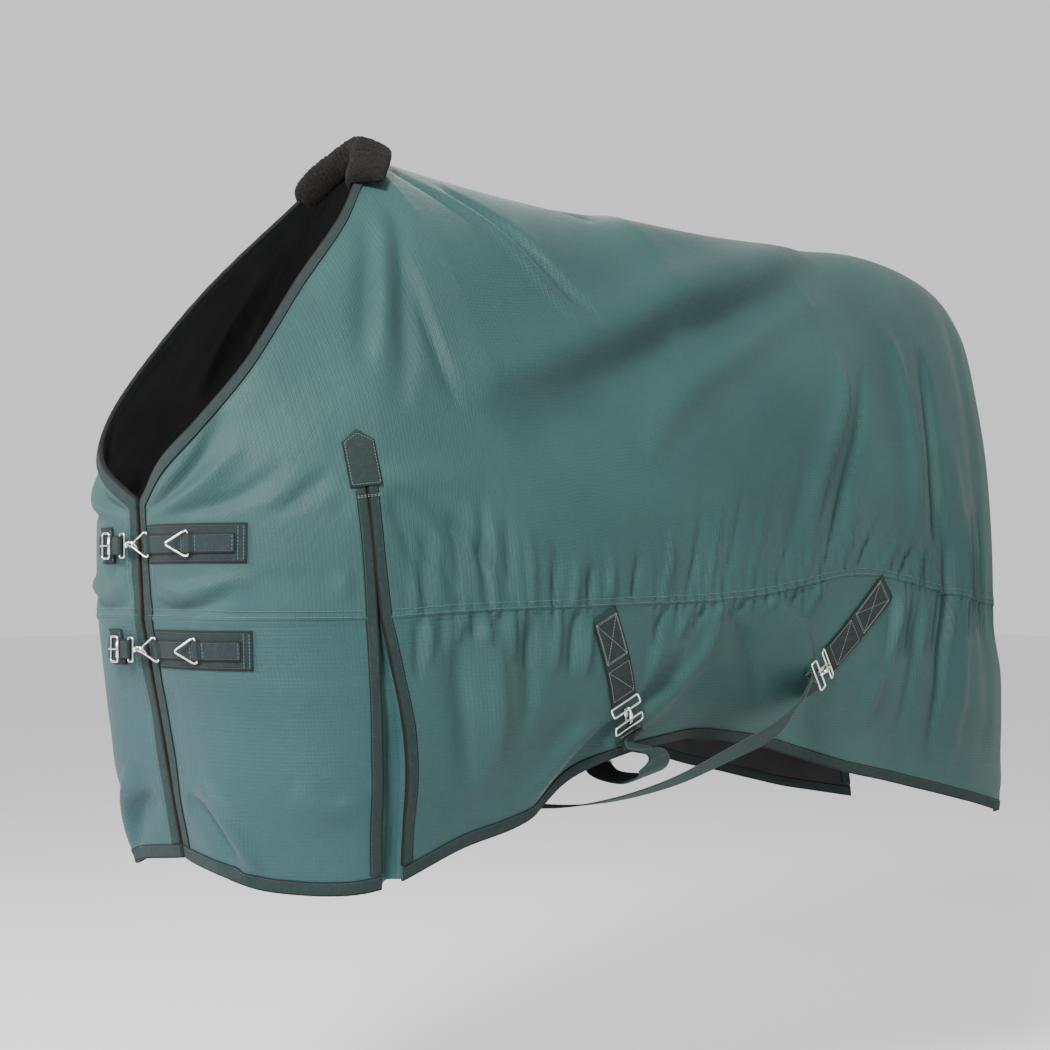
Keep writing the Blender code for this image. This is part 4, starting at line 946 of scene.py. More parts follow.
web = {"thick": 0.0018, "gap": 0.0005, "base": 0.050, "narrow": 0.025,
       "closures": {"upper": -0.568, "lower": -0.702},
       "start": 0.0225, "baseLength": 0.190, "narrowLength": 0.175, "ringAt": (0.016, 0.100), "lift": 0.0008}


def bandProfile(width, thick, across=9, round_=4):
    # a flat band with half-round edges, from its left edge over the top and back underneath
    half, r = width / 2 - thick / 2, thick / 2
    top = np.stack([np.linspace(-half, half, across), np.full(across, thick)], -1)
    bend = np.linspace(math.pi / 2, -math.pi / 2, round_ + 2)[1:-1]
    right = np.stack([half + r * np.cos(bend), r + r * np.sin(bend)], -1)
    return np.vstack([top, right, top[::-1] * (1, 0), right[::-1] * (-1, 1)])


def band(name, centres, across, up, width, thick, look, body, slotName, nodes, shape=None, droop=0.0):
    # the band's profile carried along its centre line; V is the distance across from its middle
    profile = bandProfile(width, thick)
    length = runLength(centres)
    a = profile[None, :, 0] * (np.ones(len(centres)) if shape is None else shape)[:, None]
    h = profile[None, :, 1] - droop * (2 * profile[None, :, 0] / width) ** 4
    points = centres[:, None, :] + across[:, None, :] * a[..., None] + up[:, None, :] * h[..., None]
    uv = np.stack(np.broadcast_arrays(length[:, None], profile[None, :, 0]), -1)
    made = sweepMesh(name, points, uv, look)
    placeOn(made, body, slotName, *nodes)
    return made


def levelLine(distances, z, side, lift):
    # points, ways across and ways out of a strip that runs level round the front at height z
    u = levelU(distances, z)
    v = vAtHeight(u, z)
    uAhead, uBehind = np.minimum(u + 0.05, 12.0), np.maximum(u - 0.05, 0.0)
    flip = np.array([1, side, 1.0])
    along = unit((ribPoint(uAhead, vAtHeight(uAhead, z)) - ribPoint(uBehind, vAtHeight(uBehind, z))) * flip)
    normal = ribNormal(u, v) * flip
    across = unit(np.cross(normal, along))
    point = ribPoint(u, v) * flip + normal * np.asarray(lift)[..., None]
    return point, across, normal


def roundedLoop(corners, radius, steps=6, closed=True):
    # the corners of a bent wire, each turned on a curve that leaves its two sides radius metres away
    corners = np.asarray(corners, float)
    made = []
    count = len(corners)
    for i in range(count):
        here, before, after = corners[i], corners[i - 1], corners[(i + 1) % count]
        if not closed and i in (0, count - 1):
            made.append(here[None, :])
            continue
        back, on = unit(before - here), unit(after - here)
        reach = min(radius, np.linalg.norm(before - here) * 0.45, np.linalg.norm(after - here) * 0.45)
        t = np.linspace(0, 1, steps)[:, None]
        turning = (1 - t) ** 2 * (here + back * reach) + 2 * t * (1 - t) * here
        made.append(turning + t ** 2 * (here + on * reach))
    return np.vstack(made)


def wireMesh(name, path, radius, body, nodes, closed=True, flat=None, around=14, look="steel",
             slotName="steel"):
    # a round section carried along a bent wire that lies in one plane or nearly so
    path = np.asarray(path, float)
    if closed:
        runs = np.roll(path, -1, axis=0) - np.roll(path, 1, axis=0)
    else:
        runs = np.gradient(path, axis=0)
    along = unit(runs)
    middle = path.mean(0)
    plane = flat if flat is not None else unit(np.cross(path - middle, along).sum(0))
    first = unit(np.cross(along, plane))
    second = np.cross(first, along)
    angle = np.linspace(0, 2 * math.pi, around, endpoint=False)
    size = np.broadcast_to(np.asarray(radius, float), (len(path),))[:, None, None]
    ring = first[:, None, :] * np.cos(angle)[None, :, None] + second[:, None, :] * np.sin(angle)[None, :,
                                                                                                 None]
    points = path[:, None, :] + ring * size
    length = runLength(path)
    uv = np.stack(np.broadcast_arrays(length[:, None], (angle * 0.002)[None, :]), -1)
    made = sweepMesh(name, points, uv, look, closed)
    placeOn(made, body, slotName, *nodes)
    return made


def sewnLine(points, normals, lift, pile):
    pile.append((points + normals * lift, normals))


ringMake = {"wire": 0.0014, "bar": 0.031, "reach": 0.029, "lift": 0.0080, "shoulder": 0.004, "nose": 0.0015}
ringPlaces = {}


def makeRing(name, distance, z, lift):
    # a bent-wire triangle: its bar lies under the narrow webbing and its point is towards the front edge
    point, across, up = (x[0] for x in levelLine(np.array([distance]), z, -1, np.array([lift])))
    forward = np.cross(across, up)
    forward = forward if forward[1] > 0 else -forward
    half, lean = ringMake["bar"] / 2, up * ringMake["lift"]
    tip = point + forward * ringMake["reach"] + lean
    corners = [point - across * half, point + forward * ringMake["shoulder"] + lean * 0.3 - across * half,
               tip - across * ringMake["nose"], tip + across * ringMake["nose"],
               point + forward * ringMake["shoulder"] + lean * 0.3 + across * half, point + across * half]
    ringPlaces[name] = tip
    wireMesh(name + "_wire", roundedLoop(corners, 0.0022), ringMake["wire"], name, [name])


def makeNearClosure(level):
    z = web["closures"][level]
    centres, across, up = levelLine(np.linspace(web["start"], web["baseLength"], 46), z, -1,
                                    np.full(46, web["lift"]))
    band("closureBase_" + level, centres, across, up, web["base"], web["thick"], "web50", "rug", "webbing",
         ["chest_base_" + level], droop=0.0007)
    inset = web["base"] / 2 - 0.0035
    for offset in (-inset, inset):
        sewnLine(centres[1:-1] + across[1:-1] * offset, up[1:-1], web["thick"] + 0.0001, sewing)
    for back in (2, 4):
        cross = np.linspace(-inset, inset, 12)[:, None]
        sewnLine(centres[-back] + across[-back] * cross, np.repeat(up[-back][None], 12, 0),
                 web["thick"] + 0.0001,
                 greenSewing)
    rise = 2 * ringMake["wire"] + 0.0010
    bars = [web["start"] + at - 0.012 for at in web["ringAt"]]
    distances = np.linspace(web["start"] + 0.0005, web["narrowLength"], 120)
    hump = sum(np.clip(1 - smooth(0.0030, 0.0085, np.abs(distances - bar)), 0, 1) for bar in bars)
    lift = 0.0008 + web["thick"] + 0.0008 + np.clip(hump, 0, 1) * rise
    centres, across, up = levelLine(distances, z, -1, lift)
    band("closureWeb_" + level, centres, across, up, web["narrow"], web["thick"], "web25", "rug", "webbing",
         ["chest_web_" + level], droop=0.0003)
    edge = web["narrow"] / 2 - 0.0026
    clear = hump < 0.02
    for offset in (-edge, edge):
        for piece in np.split(np.arange(len(distances)), np.nonzero(np.diff(clear.astype(int)))[0] + 1):
            if clear[piece[0]] and len(piece) > 4:
                sewnLine(centres[piece] + across[piece] * offset, up[piece], web["thick"] + 0.0001, sewing)
    cross = np.linspace(-edge, edge, 8)[:, None]
    for at in [-3] + [int(np.argmin(np.abs(distances - bars[1] - d))) for d in (-0.011, 0.011)]:
        sewnLine(centres[at] + across[at] * cross, np.repeat(up[at][None], 8, 0), web["thick"] + 0.0001,
                 greenSewing)
    ringLift = 0.0008 + web["thick"] + 0.0008 + 0.0005 + ringMake["wire"]
    for kind, bar in zip(("front", "spare"), bars):
        makeRing("ring_" + kind + "_" + level, bar, z, ringLift)


snap = {"bow": 0.0092, "bore": 0.0060, "neck": 0.0024, "tail": 0.019, "tilt": math.radians(32),
        "inBow": 0.0022,
        "plate": 0.0030, "mouth": (58.0,
                                   126.0), "mouthGap": 4.0, "slot": 0.0005, "eyeHigh": 0.031, "eyeDeep": 0.012}


def arc(radius, start, end, steps):
    angle = np.radians(np.linspace(start, end, steps))
    return np.stack([radius * np.cos(angle), radius * np.sin(angle)], -1)


def plateMesh(name, outline, thick, bevel, origin, axes, body, nodes):
    # a filled flat outline with rounded edges, laid in the plane of the first two axes
    curve = bpy.data.curves.new(name, "CURVE")
    curve.dimensions, curve.fill_mode = "2D", "BOTH"
    curve.extrude, curve.bevel_depth, curve.bevel_resolution = thick / 2 - bevel, bevel, 3
    curve.offset = -bevel
    spline = curve.splines.new("POLY")
    spline.points.add(len(outline) - 1)
    spline.points.foreach_set("co", np.hstack([outline, np.zeros((len(outline), 1)),
                                               np.ones((len(outline), 1))]).ravel())
    spline.use_cyclic_u = True
    holder = bpy.data.objects.new(name, curve)
    bpy.context.scene.collection.objects.link(holder)
    bpy.context.view_layer.update()
    mesh = bpy.data.meshes.new_from_object(holder.evaluated_get(bpy.context.evaluated_depsgraph_get()))
    bpy.data.objects.remove(holder, do_unlink=True)
    co = np.zeros(len(mesh.vertices) * 3, np.float32)
    mesh.vertices.foreach_get("co", co)
    place = np.asarray(origin) + co.reshape(-1, 3) @ np.array(axes)
    mesh.vertices.foreach_set("co", place.astype(np.float32).ravel())
    mesh.uv_layers.new(name="metres")
    mesh.materials.clear()
    mesh.materials.append(finishes["steel"])
    mesh.name = name
    made = bpy.data.objects.new(name, mesh)
    bpy.context.scene.collection.objects.link(made)
    settle(made)
    mesh.shade_smooth()
    mesh.set_sharp_from_angle(angle=math.radians(40))
    placeOn(made, body, "steel", *nodes)
    return made


def turned(name, base, way, profile, body, nodes=(), look="steel", around=24):
    # a turned shape: radii along an axis, closed at both ends
    way = unit(np.asarray(way, float))
    side = unit(np.cross(way, [0.3, 0.5, 0.9]))
    other = np.cross(way, side)
    angle = np.linspace(0, 2 * math.pi, around, endpoint=False)
    profile = np.asarray(profile, float)
    ring = side[None, :] * np.cos(angle)[:, None] + other[None, :] * np.sin(angle)[:, None]
    points = np.asarray(base) + way * profile[:, 0][:, None, None] + ring[None] * profile[:, 1][:, None, None]
    uv = np.stack(np.broadcast_arrays(profile[:, 0][:, None], (angle * 0.003)[None, :]), -1)
    made = sweepMesh(name, points, uv, look)
    placeOn(made, body, "steel", *nodes)
    return made


def makeSnap(level):
    # a bow-ended snap hooked into the front ring, with its thumb latch, swivel collar and wire eye
    tip = ringPlaces["ring_front_" + level]
    toward, up = np.array([0.0, -1.0, 0.0]), np.array([0.0, 0.0, 1.0])
    bow = np.array([tip[0], tip[1] - snap["inBow"], tip[2]])
    second = np.array([-math.cos(snap["tilt"]), 0.0, math.sin(snap["tilt"])])
    third = np.cross(toward, second)
    tail, neck = snap["tail"], snap["neck"]
    low, high = snap["mouth"]
    swell = np.array([(-tail * 0.45, -5.4e-3), (-tail * 0.72, -3.4e-3), (-tail * 0.86, -neck), (-tail, -neck),
                      (-tail, neck), (-tail * 0.86, neck), (-tail * 0.72, 3.4e-3), (-tail * 0.45, 5.4e-3)])
    outline = np.vstack([arc(snap["bow"], low, -132, 34), swell, arc(snap["bow"], 138, high, 4),
                         arc(snap["bore"], high, 360 + low, 44)])
    eyeY = bow[1] + tail + snap["slot"] + ringMake["wire"]
    swivel = np.array([bow[0], eyeY, bow[2]])
    hookName, eyeName, gateName = "snap_hook_" + level, "snap_eye_" + level, "snap_gate_" + level
    plateMesh(hookName + "_plate", outline, snap["plate"], 0.0009, bow, (toward, second, third), hookName,
              [hookName])
    lengths = np.array([0.0, 0.0006, 0.0016, 0.0030, 0.0044, 0.0058, 0.0068, 0.0074])
    radii = np.array([0.0016, 0.0026, 0.0032, 0.0034, 0.0033, 0.0030, 0.0022, 0.0012])
    turned("snapCollar_" + level, bow - toward * (tail - 0.0052), -toward,
           np.stack([lengths - 0.0008, radii], -1), hookName)
    middle = (snap["bow"] + snap["bore"]) / 2
    hinge = math.radians(high - snap["mouthGap"] - 6)
    pivot = bow + toward * middle * math.cos(hinge) + second * middle * math.sin(hinge)
    shift = middle * np.array([math.cos(hinge), math.sin(hinge)])
    gap = snap["mouthGap"]
    gate = np.vstack([arc(middle + 0.0013, high - gap, low + gap, 12),
                      arc(middle - 0.0013, low + gap, high - gap, 12)])
    plateMesh(gateName + "_bar", gate - shift, snap["plate"] * 0.8, 0.0006, pivot, (toward, second, third),
              gateName,
              [gateName])
    button = pivot + second * 0.0012 + third * 0.0008
    turned("snapLatch_" + level, button, third,
           [(0, 0.0004), (0.0003, 0.0013), (0.0012, 0.0015), (0.0022, 0.0014),
                                                 (0.0027, 0.0008), (0.0028, 0.0002)], gateName)
    centre = swivel - toward * snap["eyeDeep"] / 2
    eye = [centre + up * a * snap["eyeHigh"] / 2 - toward * b * snap["eyeDeep"] / 2
           for a, b in ((-1, -1), (1, -1), (1, 1), (-1, 1))]
    wireMesh(eyeName + "_wire", roundedLoop(eye, 0.0030), ringMake["wire"], eyeName, [eyeName])
    makeChestStrap(level, swivel - toward * snap["eyeDeep"])


strap = {"thick": 0.0022, "width": 0.0245, "legs": 0.0052, "tail": 0.045, "buckleAt": 0.026,
         "buckleHigh": 0.033,
         "buckleDeep": 0.017, "patch": (0.055, 0.090), "patchWidth": 0.048}


def makeChestStrap(level, fold):
    # webbing sewn to the far side's chest, round the eye's bar and back through its buckle to a free end
    z = web["closures"][level]
    patchAt = np.linspace(*strap["patch"], 14)
    centres, across, up = levelLine(patchAt, z, 1, np.full(14, 0.0008))
    band("strapPatch_" + level, centres, across, up, strap["patchWidth"], web["thick"], "web50", "rug",
         "webbing",
         ["strap_patch_" + level])
    for row in (1, -2):
        cross = np.linspace(-0.021, 0.021, 12)[:, None]
        sewnLine(centres[row] + across[row] * cross, np.repeat(up[row][None], 12, 0), web["thick"] + 0.0001,
                 paleSewing)
    sewn, _, _ = levelLine(np.array([strap["patch"][1] - 0.006, strap["patch"][0] + 0.008]), z, 1,
                           np.full(2, 0.0008 + web["thick"] + 0.0032 + strap["thick"] / 2))
    half = strap["legs"] / 2
    sewn[:, 2] = z
    bend = np.radians([0, 30, 60, 90, 120, 150, 180])
    rounded = fold + np.stack([half * np.cos(bend), -half * np.sin(bend), np.zeros(7)], -1)
    track = np.vstack([sewn, [[fold[0] + half, fold[1] + 0.012, fold[2]]], rounded,
                       [[fold[0] - half, fold[1] + reach, fold[2]] for reach in (0.012, 0.026,
                                                                                 strap["tail"])]])
    track[:, 2] = np.where(np.arange(len(track)) < 2, z, fold[2])
    steps = np.concatenate([np.linspace(0, 3, 26)[:-1], np.linspace(3, 9, 31)[:-1], np.linspace(9, 12, 26)])
    line = catmull(track, steps)
    line[:, 2] = np.interp(steps, [0, 1, 2.5], [z, z, fold[2]])
    along = np.gradient(line, axis=0)
    along[:, 2] = 0
    along = unit(along)
    upright = np.broadcast_to(np.array([0, 0, 1.0]), line.shape)
    out = unit(np.cross(along, upright))
    band("chestStrap_" + level, line - out * strap["thick"] / 2, upright, out, strap["width"], strap["thick"],
                "strap25", "rug", "webbing", ["chest_strap_" + level])
    front = fold[0] - half - strap["thick"] / 2 - snap["slot"] - ringMake["wire"]
    centre = np.array([front, fold[1] + strap["buckleAt"], fold[2]])
    bodyName, tongueName = "buckle_" + level, "buckle_tongue_" + level
    corners = [centre + np.array([0, b * strap["buckleDeep"] / 2, a * strap["buckleHigh"] / 2])
               for a, b in ((-1, -1), (1, -1), (1, 1), (-1, 1))]
    wireMesh(bodyName + "_frame", roundedLoop(corners, 0.0036), ringMake["wire"] * 1.1, "rug", [bodyName])
    hinge = centre + np.array([0, strap["buckleDeep"] / 2, 0])
    rollerBase = centre + np.array([0, -strap["buckleDeep"] / 2, -strap["buckleHigh"] / 2 + 0.005])
    longRoll = strap["buckleHigh"] - 0.010
    turned("buckleRoller_" + level, rollerBase, (0, 0, 1),
           [(0, 0.0016), (0.0003, 0.0022), (longRoll * 0.5, 0.0023),
                                                          (longRoll - 0.0003, 0.0022), (longRoll,
                                                                                        0.0016)], "rug")
    lift = np.array([-(ringMake["wire"] * 2 + 0.0005), 0, 0])
    tongue = np.array([hinge + lift, hinge + lift * 1.05 - (0, 0.006, 0), hinge + lift * 1.05 - (0, 0.013, 0),
                       hinge + lift - (0, strap["buckleDeep"] + 0.002, 0)])
    tongueLine = catmull(tongue, np.linspace(0, 3, 22))
    thick = ringMake["wire"] * 0.8 * (1 - 0.35 * np.linspace(0, 1, 22) ** 2)
    wireMesh(tongueName + "_pin", tongueLine, thick, tongueName, [tongueName], closed=False,
             flat=np.array([0, 0, 1.0]))
    loopAt = np.array([fold[0] - half, fold[1] + 0.0375, fold[2]])
    eyelet = [loopAt + np.array([-strap["thick"] / 2 - 0.0002, 0.0024 * math.cos(a), 0.0024 * math.sin(a)])
              for a in np.linspace(0, 2 * math.pi, 20, endpoint=False)]
    wireMesh("strapEyelet_" + level, eyelet, 0.0006, "rug", [])


for level in web["closures"]:
    makeNearClosure(level)
    makeSnap(level)
print("chest closures made")


tab = {"width": 0.050, "lift": 0.0016, "places": {"front": ((6.72, -0.660), (6.98, -0.783)),
                                                  "rear": ((9.27, -0.622), (8.74, -0.740))}}
gussetTab = {"width": 0.044, "length": 0.074, "point": 0.8, "overlap": 0.004, "lift": 0.0014}


def makeGussetTab(side, word):
    # the pointed patch of webbing over the top of the slit, on a grid that narrows to its point
    flip = np.array([1, side, 1.0])
    point, normal = ribPoint(rug["gusset"], slitV) * flip, ribNormal(rug["gusset"], slitV) * flip
    along = unit(ribPoint(rug["gusset"], slitV - 0.1) * flip - point)
    across = unit(np.cross(along, normal))
    base = point - along * gussetTab["overlap"]
    y = np.linspace(0, 1, 26)
    half = gussetTab["width"] / 2
    width = np.where(y < gussetTab["point"], 1.0,
                     1 - 0.93 * (y - gussetTab["point"]) / (1 - gussetTab["point"]))
    centres = base + along * (y * gussetTab["length"])[:, None] + normal * gussetTab["lift"]
    band("gussetTab_" + word, centres, np.repeat(across[None], 26, 0), np.repeat(normal[None], 26, 0),
                gussetTab["width"], web["thick"], "tab44", "rug", "webbing", ["gusset_tab_" + word], width, 0.0006)
    inset = half - 0.003
    tall, shoulder = gussetTab["length"], gussetTab["length"] * gussetTab["point"]
    path = np.array([(inset, 0.003), (inset, shoulder - 0.001), (0, tall - 0.005), (-inset, shoulder - 0.001),
                     (-inset, 0.003), (inset, 0.003)])
    line = np.vstack([path[i] + (path[i + 1] - path[i]) * np.linspace(0, 1, 14)[:, None] for i in range(5)])
    points = base + across * line[:, :1] + along * line[:,
                                                        1:] + normal * (gussetTab["lift"] + web["thick"] + 0.0001)
    greenSewing.append((points, np.repeat(normal[None], len(points), 0)))
    bars = np.linspace(-0.016, 0.016, 9)
    for below in (0.012, 0.014):
        row = base + across * bars[:, None] - along * below + normal * 0.0022
        paleSewing.append((row, np.repeat(normal[None], 9, 0)))


def tabLine(place, side, share):
    # points, ways along, across and out on a belly tab; share 0 is its top and 1 its loop
    (u0, z0), (u1, z1) = tab["places"][place]
    flip = np.array([1, side, 1.0])

    def at(t):
        u, z = u0 + (u1 - u0) * t, z0 + (z1 - z0) * t
        v = vAtHeight(u, z)
        return ribPoint(u, v) * flip, ribNormal(u, v) * flip

    point, normal = at(share)
    along = unit(at(share + 0.02)[0] - at(share - 0.02)[0])
    across = unit(np.cross(normal, along))
    return point, along, across, np.cross(along, across)


def makeTab(place, side, word):
    share = np.linspace(0.0, 1.0, 30)
    point, along, across, normal = tabLine(place, side, share)
    lift = tab["lift"]
    band("bellyTab_" + place + "_" + word, point + normal * lift, across, normal, tab["width"], web["thick"],
                "tab50", "rug", "webbing", ["belly_tab_" + place + "_" + word], None, 0.0007)
    inset, high = tab["width"] / 2 - 0.0042, web["thick"] + lift + 0.0001
    box = [(-1, 0.06), (1, 0.06), (1, 0.52), (-1, 0.52), (-1, 0.06), (1, 0.52), (1, 0.06), (-1, 0.52)]
    lower = [(-1, 0.60), (1, 0.60), (1, 0.94), (-1, 0.94), (-1, 0.60), (1, 0.94)]
    for corners in (box, lower,
                    [(-0.93, 0.075), (0.93, 0.075), (0.93, 0.505), (-0.93, 0.505), (-0.93, 0.075)]):
        for (a0, s0), (a1, s1) in zip(corners[:-1], corners[1:]):
            t = np.linspace(0, 1, 22)
            p, _, c, n = tabLine(place, side, s0 + (s1 - s0) * t)
            sewnLine(p + c * ((a0 + (a1 - a0) * t) * inset)[:, None], n, high, paleSewing)


belly = {"wire": 0.0017, "wide": 0.055, "deep": 0.0125, "lift": (0.0032, 0.0092), "link": 0.0250,
         "linkHalf": 0.0052,
         "thick": 0.0022, "slot": 0.0005, "sliderWire": 0.0016, "sliderClear": 0.00045,
         "slider": {"front": 0.52, "rear": 0.55}}
bellyPaths = {
    "front": [(0.285, -0.318, -0.874), (0.335, -0.235, -0.905), (0.450, -0.060, -0.918),
              (0.600, 0.120, -0.915),
              (0.690, 0.268, -0.912), (0.712, 0.318, -0.860)],
    "rear": [(0.585, -0.318, -0.826), (0.500, -0.295, -0.868), (0.430, -0.205, -0.925),
             (0.370, -0.050, -0.966),
             (0.315, 0.100, -0.962), (0.290, 0.248, -0.930), (0.284, 0.334, -0.868)],
}


def makeBellyHardware(place):
    # the wire loop on the tab, the swivel link through it, and the strap's own loop
    point, along, across, normal = (x[0] for x in tabLine(place, -1, np.array([1.0])))
    wire, deep, half = belly["wire"], belly["deep"], belly["wide"] / 2
    start = point + normal * (tab["lift"] + web["thick"] / 2)
    slope = unit(along * deep + normal * (belly["lift"][1] - belly["lift"][0]))
    bar = start + along * (wire + belly["slot"])
    low = bar + slope * deep
    loopName, hookName, endName = "belly_loop_" + place, "belly_hook_" + place, "strap_loop_" + place
    wireMesh(loopName + "_wire", roundedLoop([bar - across * half, bar + across * half, low + across * half,
                                              low - across * half], 0.0034), wire, loopName, [loopName])
    head = low - along * (2 * wire + belly["slot"])
    foot = head + along * belly["link"]
    turn = np.concatenate([np.linspace(180, 0, 14), np.linspace(0, -180, 14)])
    middle = np.concatenate([np.repeat((head + along * belly["linkHalf"])[None], 14, 0),
                             np.repeat((foot - along * belly["linkHalf"])[None], 14, 0)])
    angle = np.radians(turn)[:, None]
    link = middle + normal * belly["linkHalf"] * np.cos(angle) - along * belly["linkHalf"] * np.sin(angle)
    wireMesh(hookName + "_link", link, wire, hookName, [hookName])
    waist = (head + foot) / 2
    knob = np.array([(-0.0060, 0.0010), (-0.0056, 0.0022), (-0.0040, 0.0030), (-0.0020, 0.0034), (0, 0.0031),
                     (0.0020, 0.0034), (0.0040, 0.0030), (0.0056, 0.0022), (0.0060, 0.0010)])
    for way, word in ((1, "outer"), (-1, "inner")):
        turned("linkCollar_" + word + "_" + place, waist + normal * belly["linkHalf"] * way, along, knob,
               hookName)
    top = foot - along * (2 * wire + belly["slot"])
    end = top + along * deep
    wireMesh(endName + "_wire", roundedLoop([top - across * half, top + across * half, end + across * half,
                                             end - across * half], 0.0034), wire, endName, [endName])
    return end + along * (wire + belly["slot"] / 2), along, across, normal


def makeBellyStrap(place):
    # a strap under the belly, from its loop on the near side to the other tab on the far side
    start, along, across, normal = makeBellyHardware(place)
    other = "rear" if place == "front" else "front"
    end, farAlong, _, farNormal = (x[0] for x in tabLine(other, 1, np.array([1.0])))
    last = end + farNormal * (tab["lift"] + web["thick"] / 2) + farAlong * 0.0008
    points = np.array([start, start + along * 0.02, *bellyPaths[place],
                       last + farAlong * 0.025 + farNormal * 0.008, last])
    coarse = catmull(points, np.linspace(0, len(points) - 1, 40))
    count = 157
    share = np.linspace(0, 39, count)
    tangents = np.vstack([along, coarse[2:] - coarse[:-2], -farAlong])
    outward = unit(coarse - np.stack([coarse[:, 0], np.zeros(40), np.full(40, -0.55)], -1))
    index = np.arange(40)
    nearShare, farShare = np.maximum(0, 1 - index / 5)[:, None], np.maximum(0, 1 - (39 - index) / 5)[:, None]
    outward = outward * (1 - nearShare - farShare) + normal * nearShare + farNormal * farShare
    tangents = unit(tangents)
    outward = unit(outward - tangents * np.sum(outward * tangents, axis=1)[:, None])
    line = catmull(points, share / 39 * (len(points) - 1))
    out = unit(catmull(outward, share))
    run = unit(np.gradient(line, axis=0))
    out = unit(out - run * np.sum(out * run, axis=1)[:, None])
    side = np.cross(run, out)
    twist = 0.0012 * np.sin(share * 0.8)
    band("bellyStrap_" + place, line - out * (belly["thick"] / 2 - twist)[:, None], side, out, tab["width"],
                belly["thick"], "belly50", "rug", "webbing", ["belly_strap_" + place])
    i = int(belly["slider"][place] * 39)
    centre, cross, up = coarse[i], np.cross(tangents[i], outward[i]), outward[i]
    halfWide = tab["width"] / 2 + belly["sliderClear"] + belly["sliderWire"]
    halfDeep = belly["thick"] / 2 + belly["sliderClear"] + belly["sliderWire"]
    corners = [centre + cross * a * halfWide + up * b * halfDeep for a,
               b in ((-1, -1), (1, -1), (1, 1), (-1, 1))]
    sliderName = "strap_slider_" + place
    wireMesh(sliderName + "_wire", roundedLoop(corners, 0.0012), belly["sliderWire"], sliderName,
             [sliderName])
    for step in (3, 5, 16, 18):
        rowLine = np.linspace(-0.021, 0.021, 12)[:, None]
        sewnLine(line[step] + side[step] * rowLine, np.repeat(out[step][None], 12, 0),
                 belly["thick"] / 2 + 0.0013,
                 paleSewing)


for side, word in ((-1, "left"), (1, "right")):
    makeGussetTab(side, word)
    for place in tab["places"]:
        makeTab(place, side, word)
for place in tab["places"]:
    makeBellyStrap(place)
print("belly straps made")


# sewing thread: every stitch is a short five-sided bar

thread = {"pitch": 0.0042, "length": 0.0031, "radius": 0.00042}


def seamSewing():
    # two rows of stitches along the gathered seam, and a second row beside the front edges
    for side in (-1.0, 1.0):
        for low, high in ((0.12, slit[0] - 0.15), (slit[1] + 0.15, 11.8)):
            u = spread(low, high, 0.004)
            for back in (0.0045, 0.0125):
                v = 1 - back * perMetreV(u, np.full(len(u), 0.99), side, 0.01)
                normals = clothNormal(u, v, side)
                greenSewing.append((clothPoint(u, v, side, clothMake["seamRise"] + 0.0001), normals))
        v = np.linspace(0.14, 1.86, 220)
        u = 0.027 * perMetreU(np.zeros(220), v, side, 0.01)
        greenSewing.append((clothPoint(u, v, side, 0.0002), clothNormal(u, v, side)))


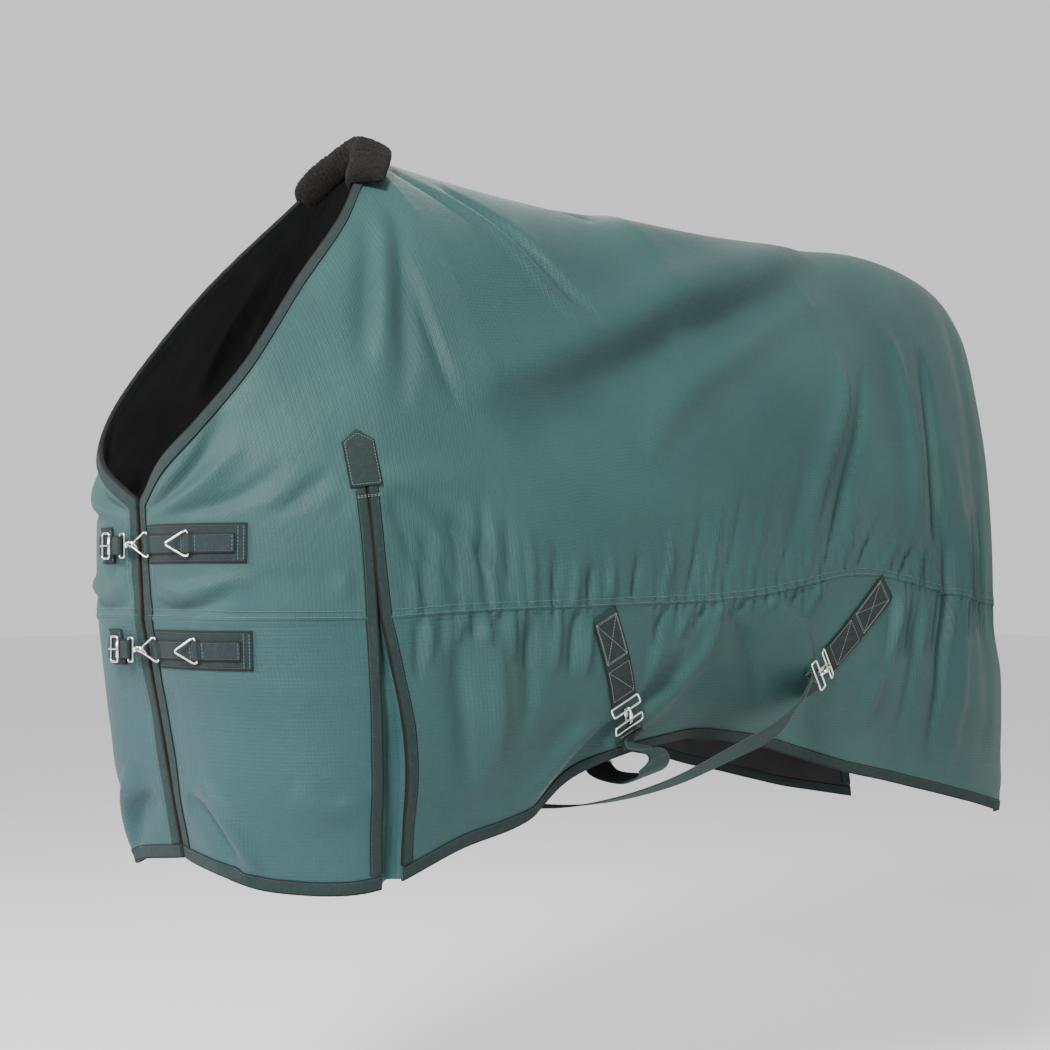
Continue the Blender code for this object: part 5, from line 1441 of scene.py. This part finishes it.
def stitches(name, rows, look):
    # each row's line is cut into equal steps, and each step carries a bar laid along it
    centres, ways, ups = [], [], []
    for points, normals in rows:
        length = runLength(points)
        count = int(length[-1] / thread["pitch"])
        if count < 1:
            continue
        at = (np.arange(count) + 0.5) * length[-1] / count
        line = np.stack([np.interp(at, length, points[:, k]) for k in range(3)], -1)
        lead = np.stack([np.interp(at + 0.0006, length, points[:, k]) for k in range(3)], -1)
        tail = np.stack([np.interp(at - 0.0006, length, points[:, k]) for k in range(3)], -1)
        centres.append(line)
        ways.append(unit(lead - tail))
        ups.append(unit(np.stack([np.interp(at, length, normals[:, k]) for k in range(3)], -1)))
    centres, ways, ups = (np.vstack(x) for x in (centres, ways, ups))
    sides = unit(np.cross(ways, ups))
    ups = np.cross(sides, ways)
    angle = np.linspace(0, 2 * math.pi, 5, endpoint=False)
    rings = np.array([(-0.5, 0.45, -0.5), (-0.28, 1.0, 0.35), (0.28, 1.0, 0.35), (0.5, 0.45, -0.5)])
    r = thread["radius"]
    local = [(x * thread["length"], size * r * np.cos(angle), size * r * np.sin(angle) + rise * r)
             for x, size, rise in rings]
    points = np.stack([centres[:, None, :] + ways[:, None, :] * x + sides[:, None, :] * a[None, :, None]
                       + ups[:, None, :] * b[None, :, None] for x, a, b in local], 1)
    total = len(centres)
    faces = gridFaces(4, 5, None, False, True)[:, ::-1]
    caps = np.array([[0, 1, 2, 3, 4], [19, 18, 17, 16, 15]])
    start = (np.arange(total) * 20)[:, None]
    loops = np.hstack([faces.ravel()[None, :] + start, caps.ravel()[None, :] + start]).ravel()
    sizes = np.tile(np.concatenate([np.full(len(faces), 4), [5, 5]]), total)
    made = putMesh(name, points.reshape(-1, 3), loops, sizes, np.zeros((total * 20, 2)), look)
    bm = bmesh.new()
    bm.from_mesh(made.data)
    bmesh.ops.recalc_face_normals(bm, faces=bm.faces)
    bm.to_mesh(made.data)
    bm.free()
    placeOn(made, "rug", "binding")
    print(name, total, "stitches")


seamSewing()
stitches("bindingStitches", sewing, "threadDark")
stitches("greenStitches", greenSewing, "threadGreen")
stitches("paleStitches", paleSewing, "threadPale")

# studio: a pale floor well under the hem, and soft lights
studio = {"floorZ": -1.66, "floorSize": 60.0, "world": 0.92}


def areaLight(name, place, target, size, power, colour=(1, 1, 1)):
    light = bpy.data.lights.new(name, "AREA")
    light.shape, light.size, light.energy, light.color = "DISK", size, power, colour
    holder = bpy.data.objects.new(name, light)
    holder.location = place
    holder.rotation_euler = (Vector(target) - Vector(place)).to_track_quat("-Z", "Y").to_euler()
    bpy.context.scene.collection.objects.link(holder)


def makeStudio():
    half = studio["floorSize"] / 2
    mesh = bpy.data.meshes.new("studioFloor")
    corners = [(-half, -half), (half, -half), (half, half), (-half, half)]
    mesh.from_pydata([(x, y, studio["floorZ"]) for x, y in corners], [], [(0, 1, 2, 3)])
    paint = bpy.data.materials.new("paleFloor")
    paint.use_nodes = True
    paint.node_tree.nodes["Principled BSDF"].inputs["Base Color"].default_value = (0.86, 0.86, 0.86, 1)
    paint.node_tree.nodes["Principled BSDF"].inputs["Roughness"].default_value = 0.9
    mesh.materials.append(paint)
    floor = bpy.data.objects.new("studioFloor", mesh)
    bpy.context.scene.collection.objects.link(floor)
    world = bpy.context.scene.world or bpy.data.worlds.new("studio")
    bpy.context.scene.world = world
    world.use_nodes = True
    sky = world.node_tree.nodes.get("Background") or world.node_tree.nodes.new("ShaderNodeBackground")
    sky.inputs["Color"].default_value = (1.0, 1.0, 1.0, 1)
    sky.inputs["Strength"].default_value = studio["world"]
    middle = (0.35, -0.1, -0.5)
    areaLight("key", (-2.9, -2.0, 2.1), middle, 1.1, 400, (1.0, 0.985, 0.96))
    areaLight("frontFill", (-3.0, 1.4, 0.5), (-0.2, 0.1, -0.6), 1.2, 120)
    areaLight("rim", (2.2, 2.2, 2.4), middle, 1.8, 50)


makeStudio()
print("studio lit")
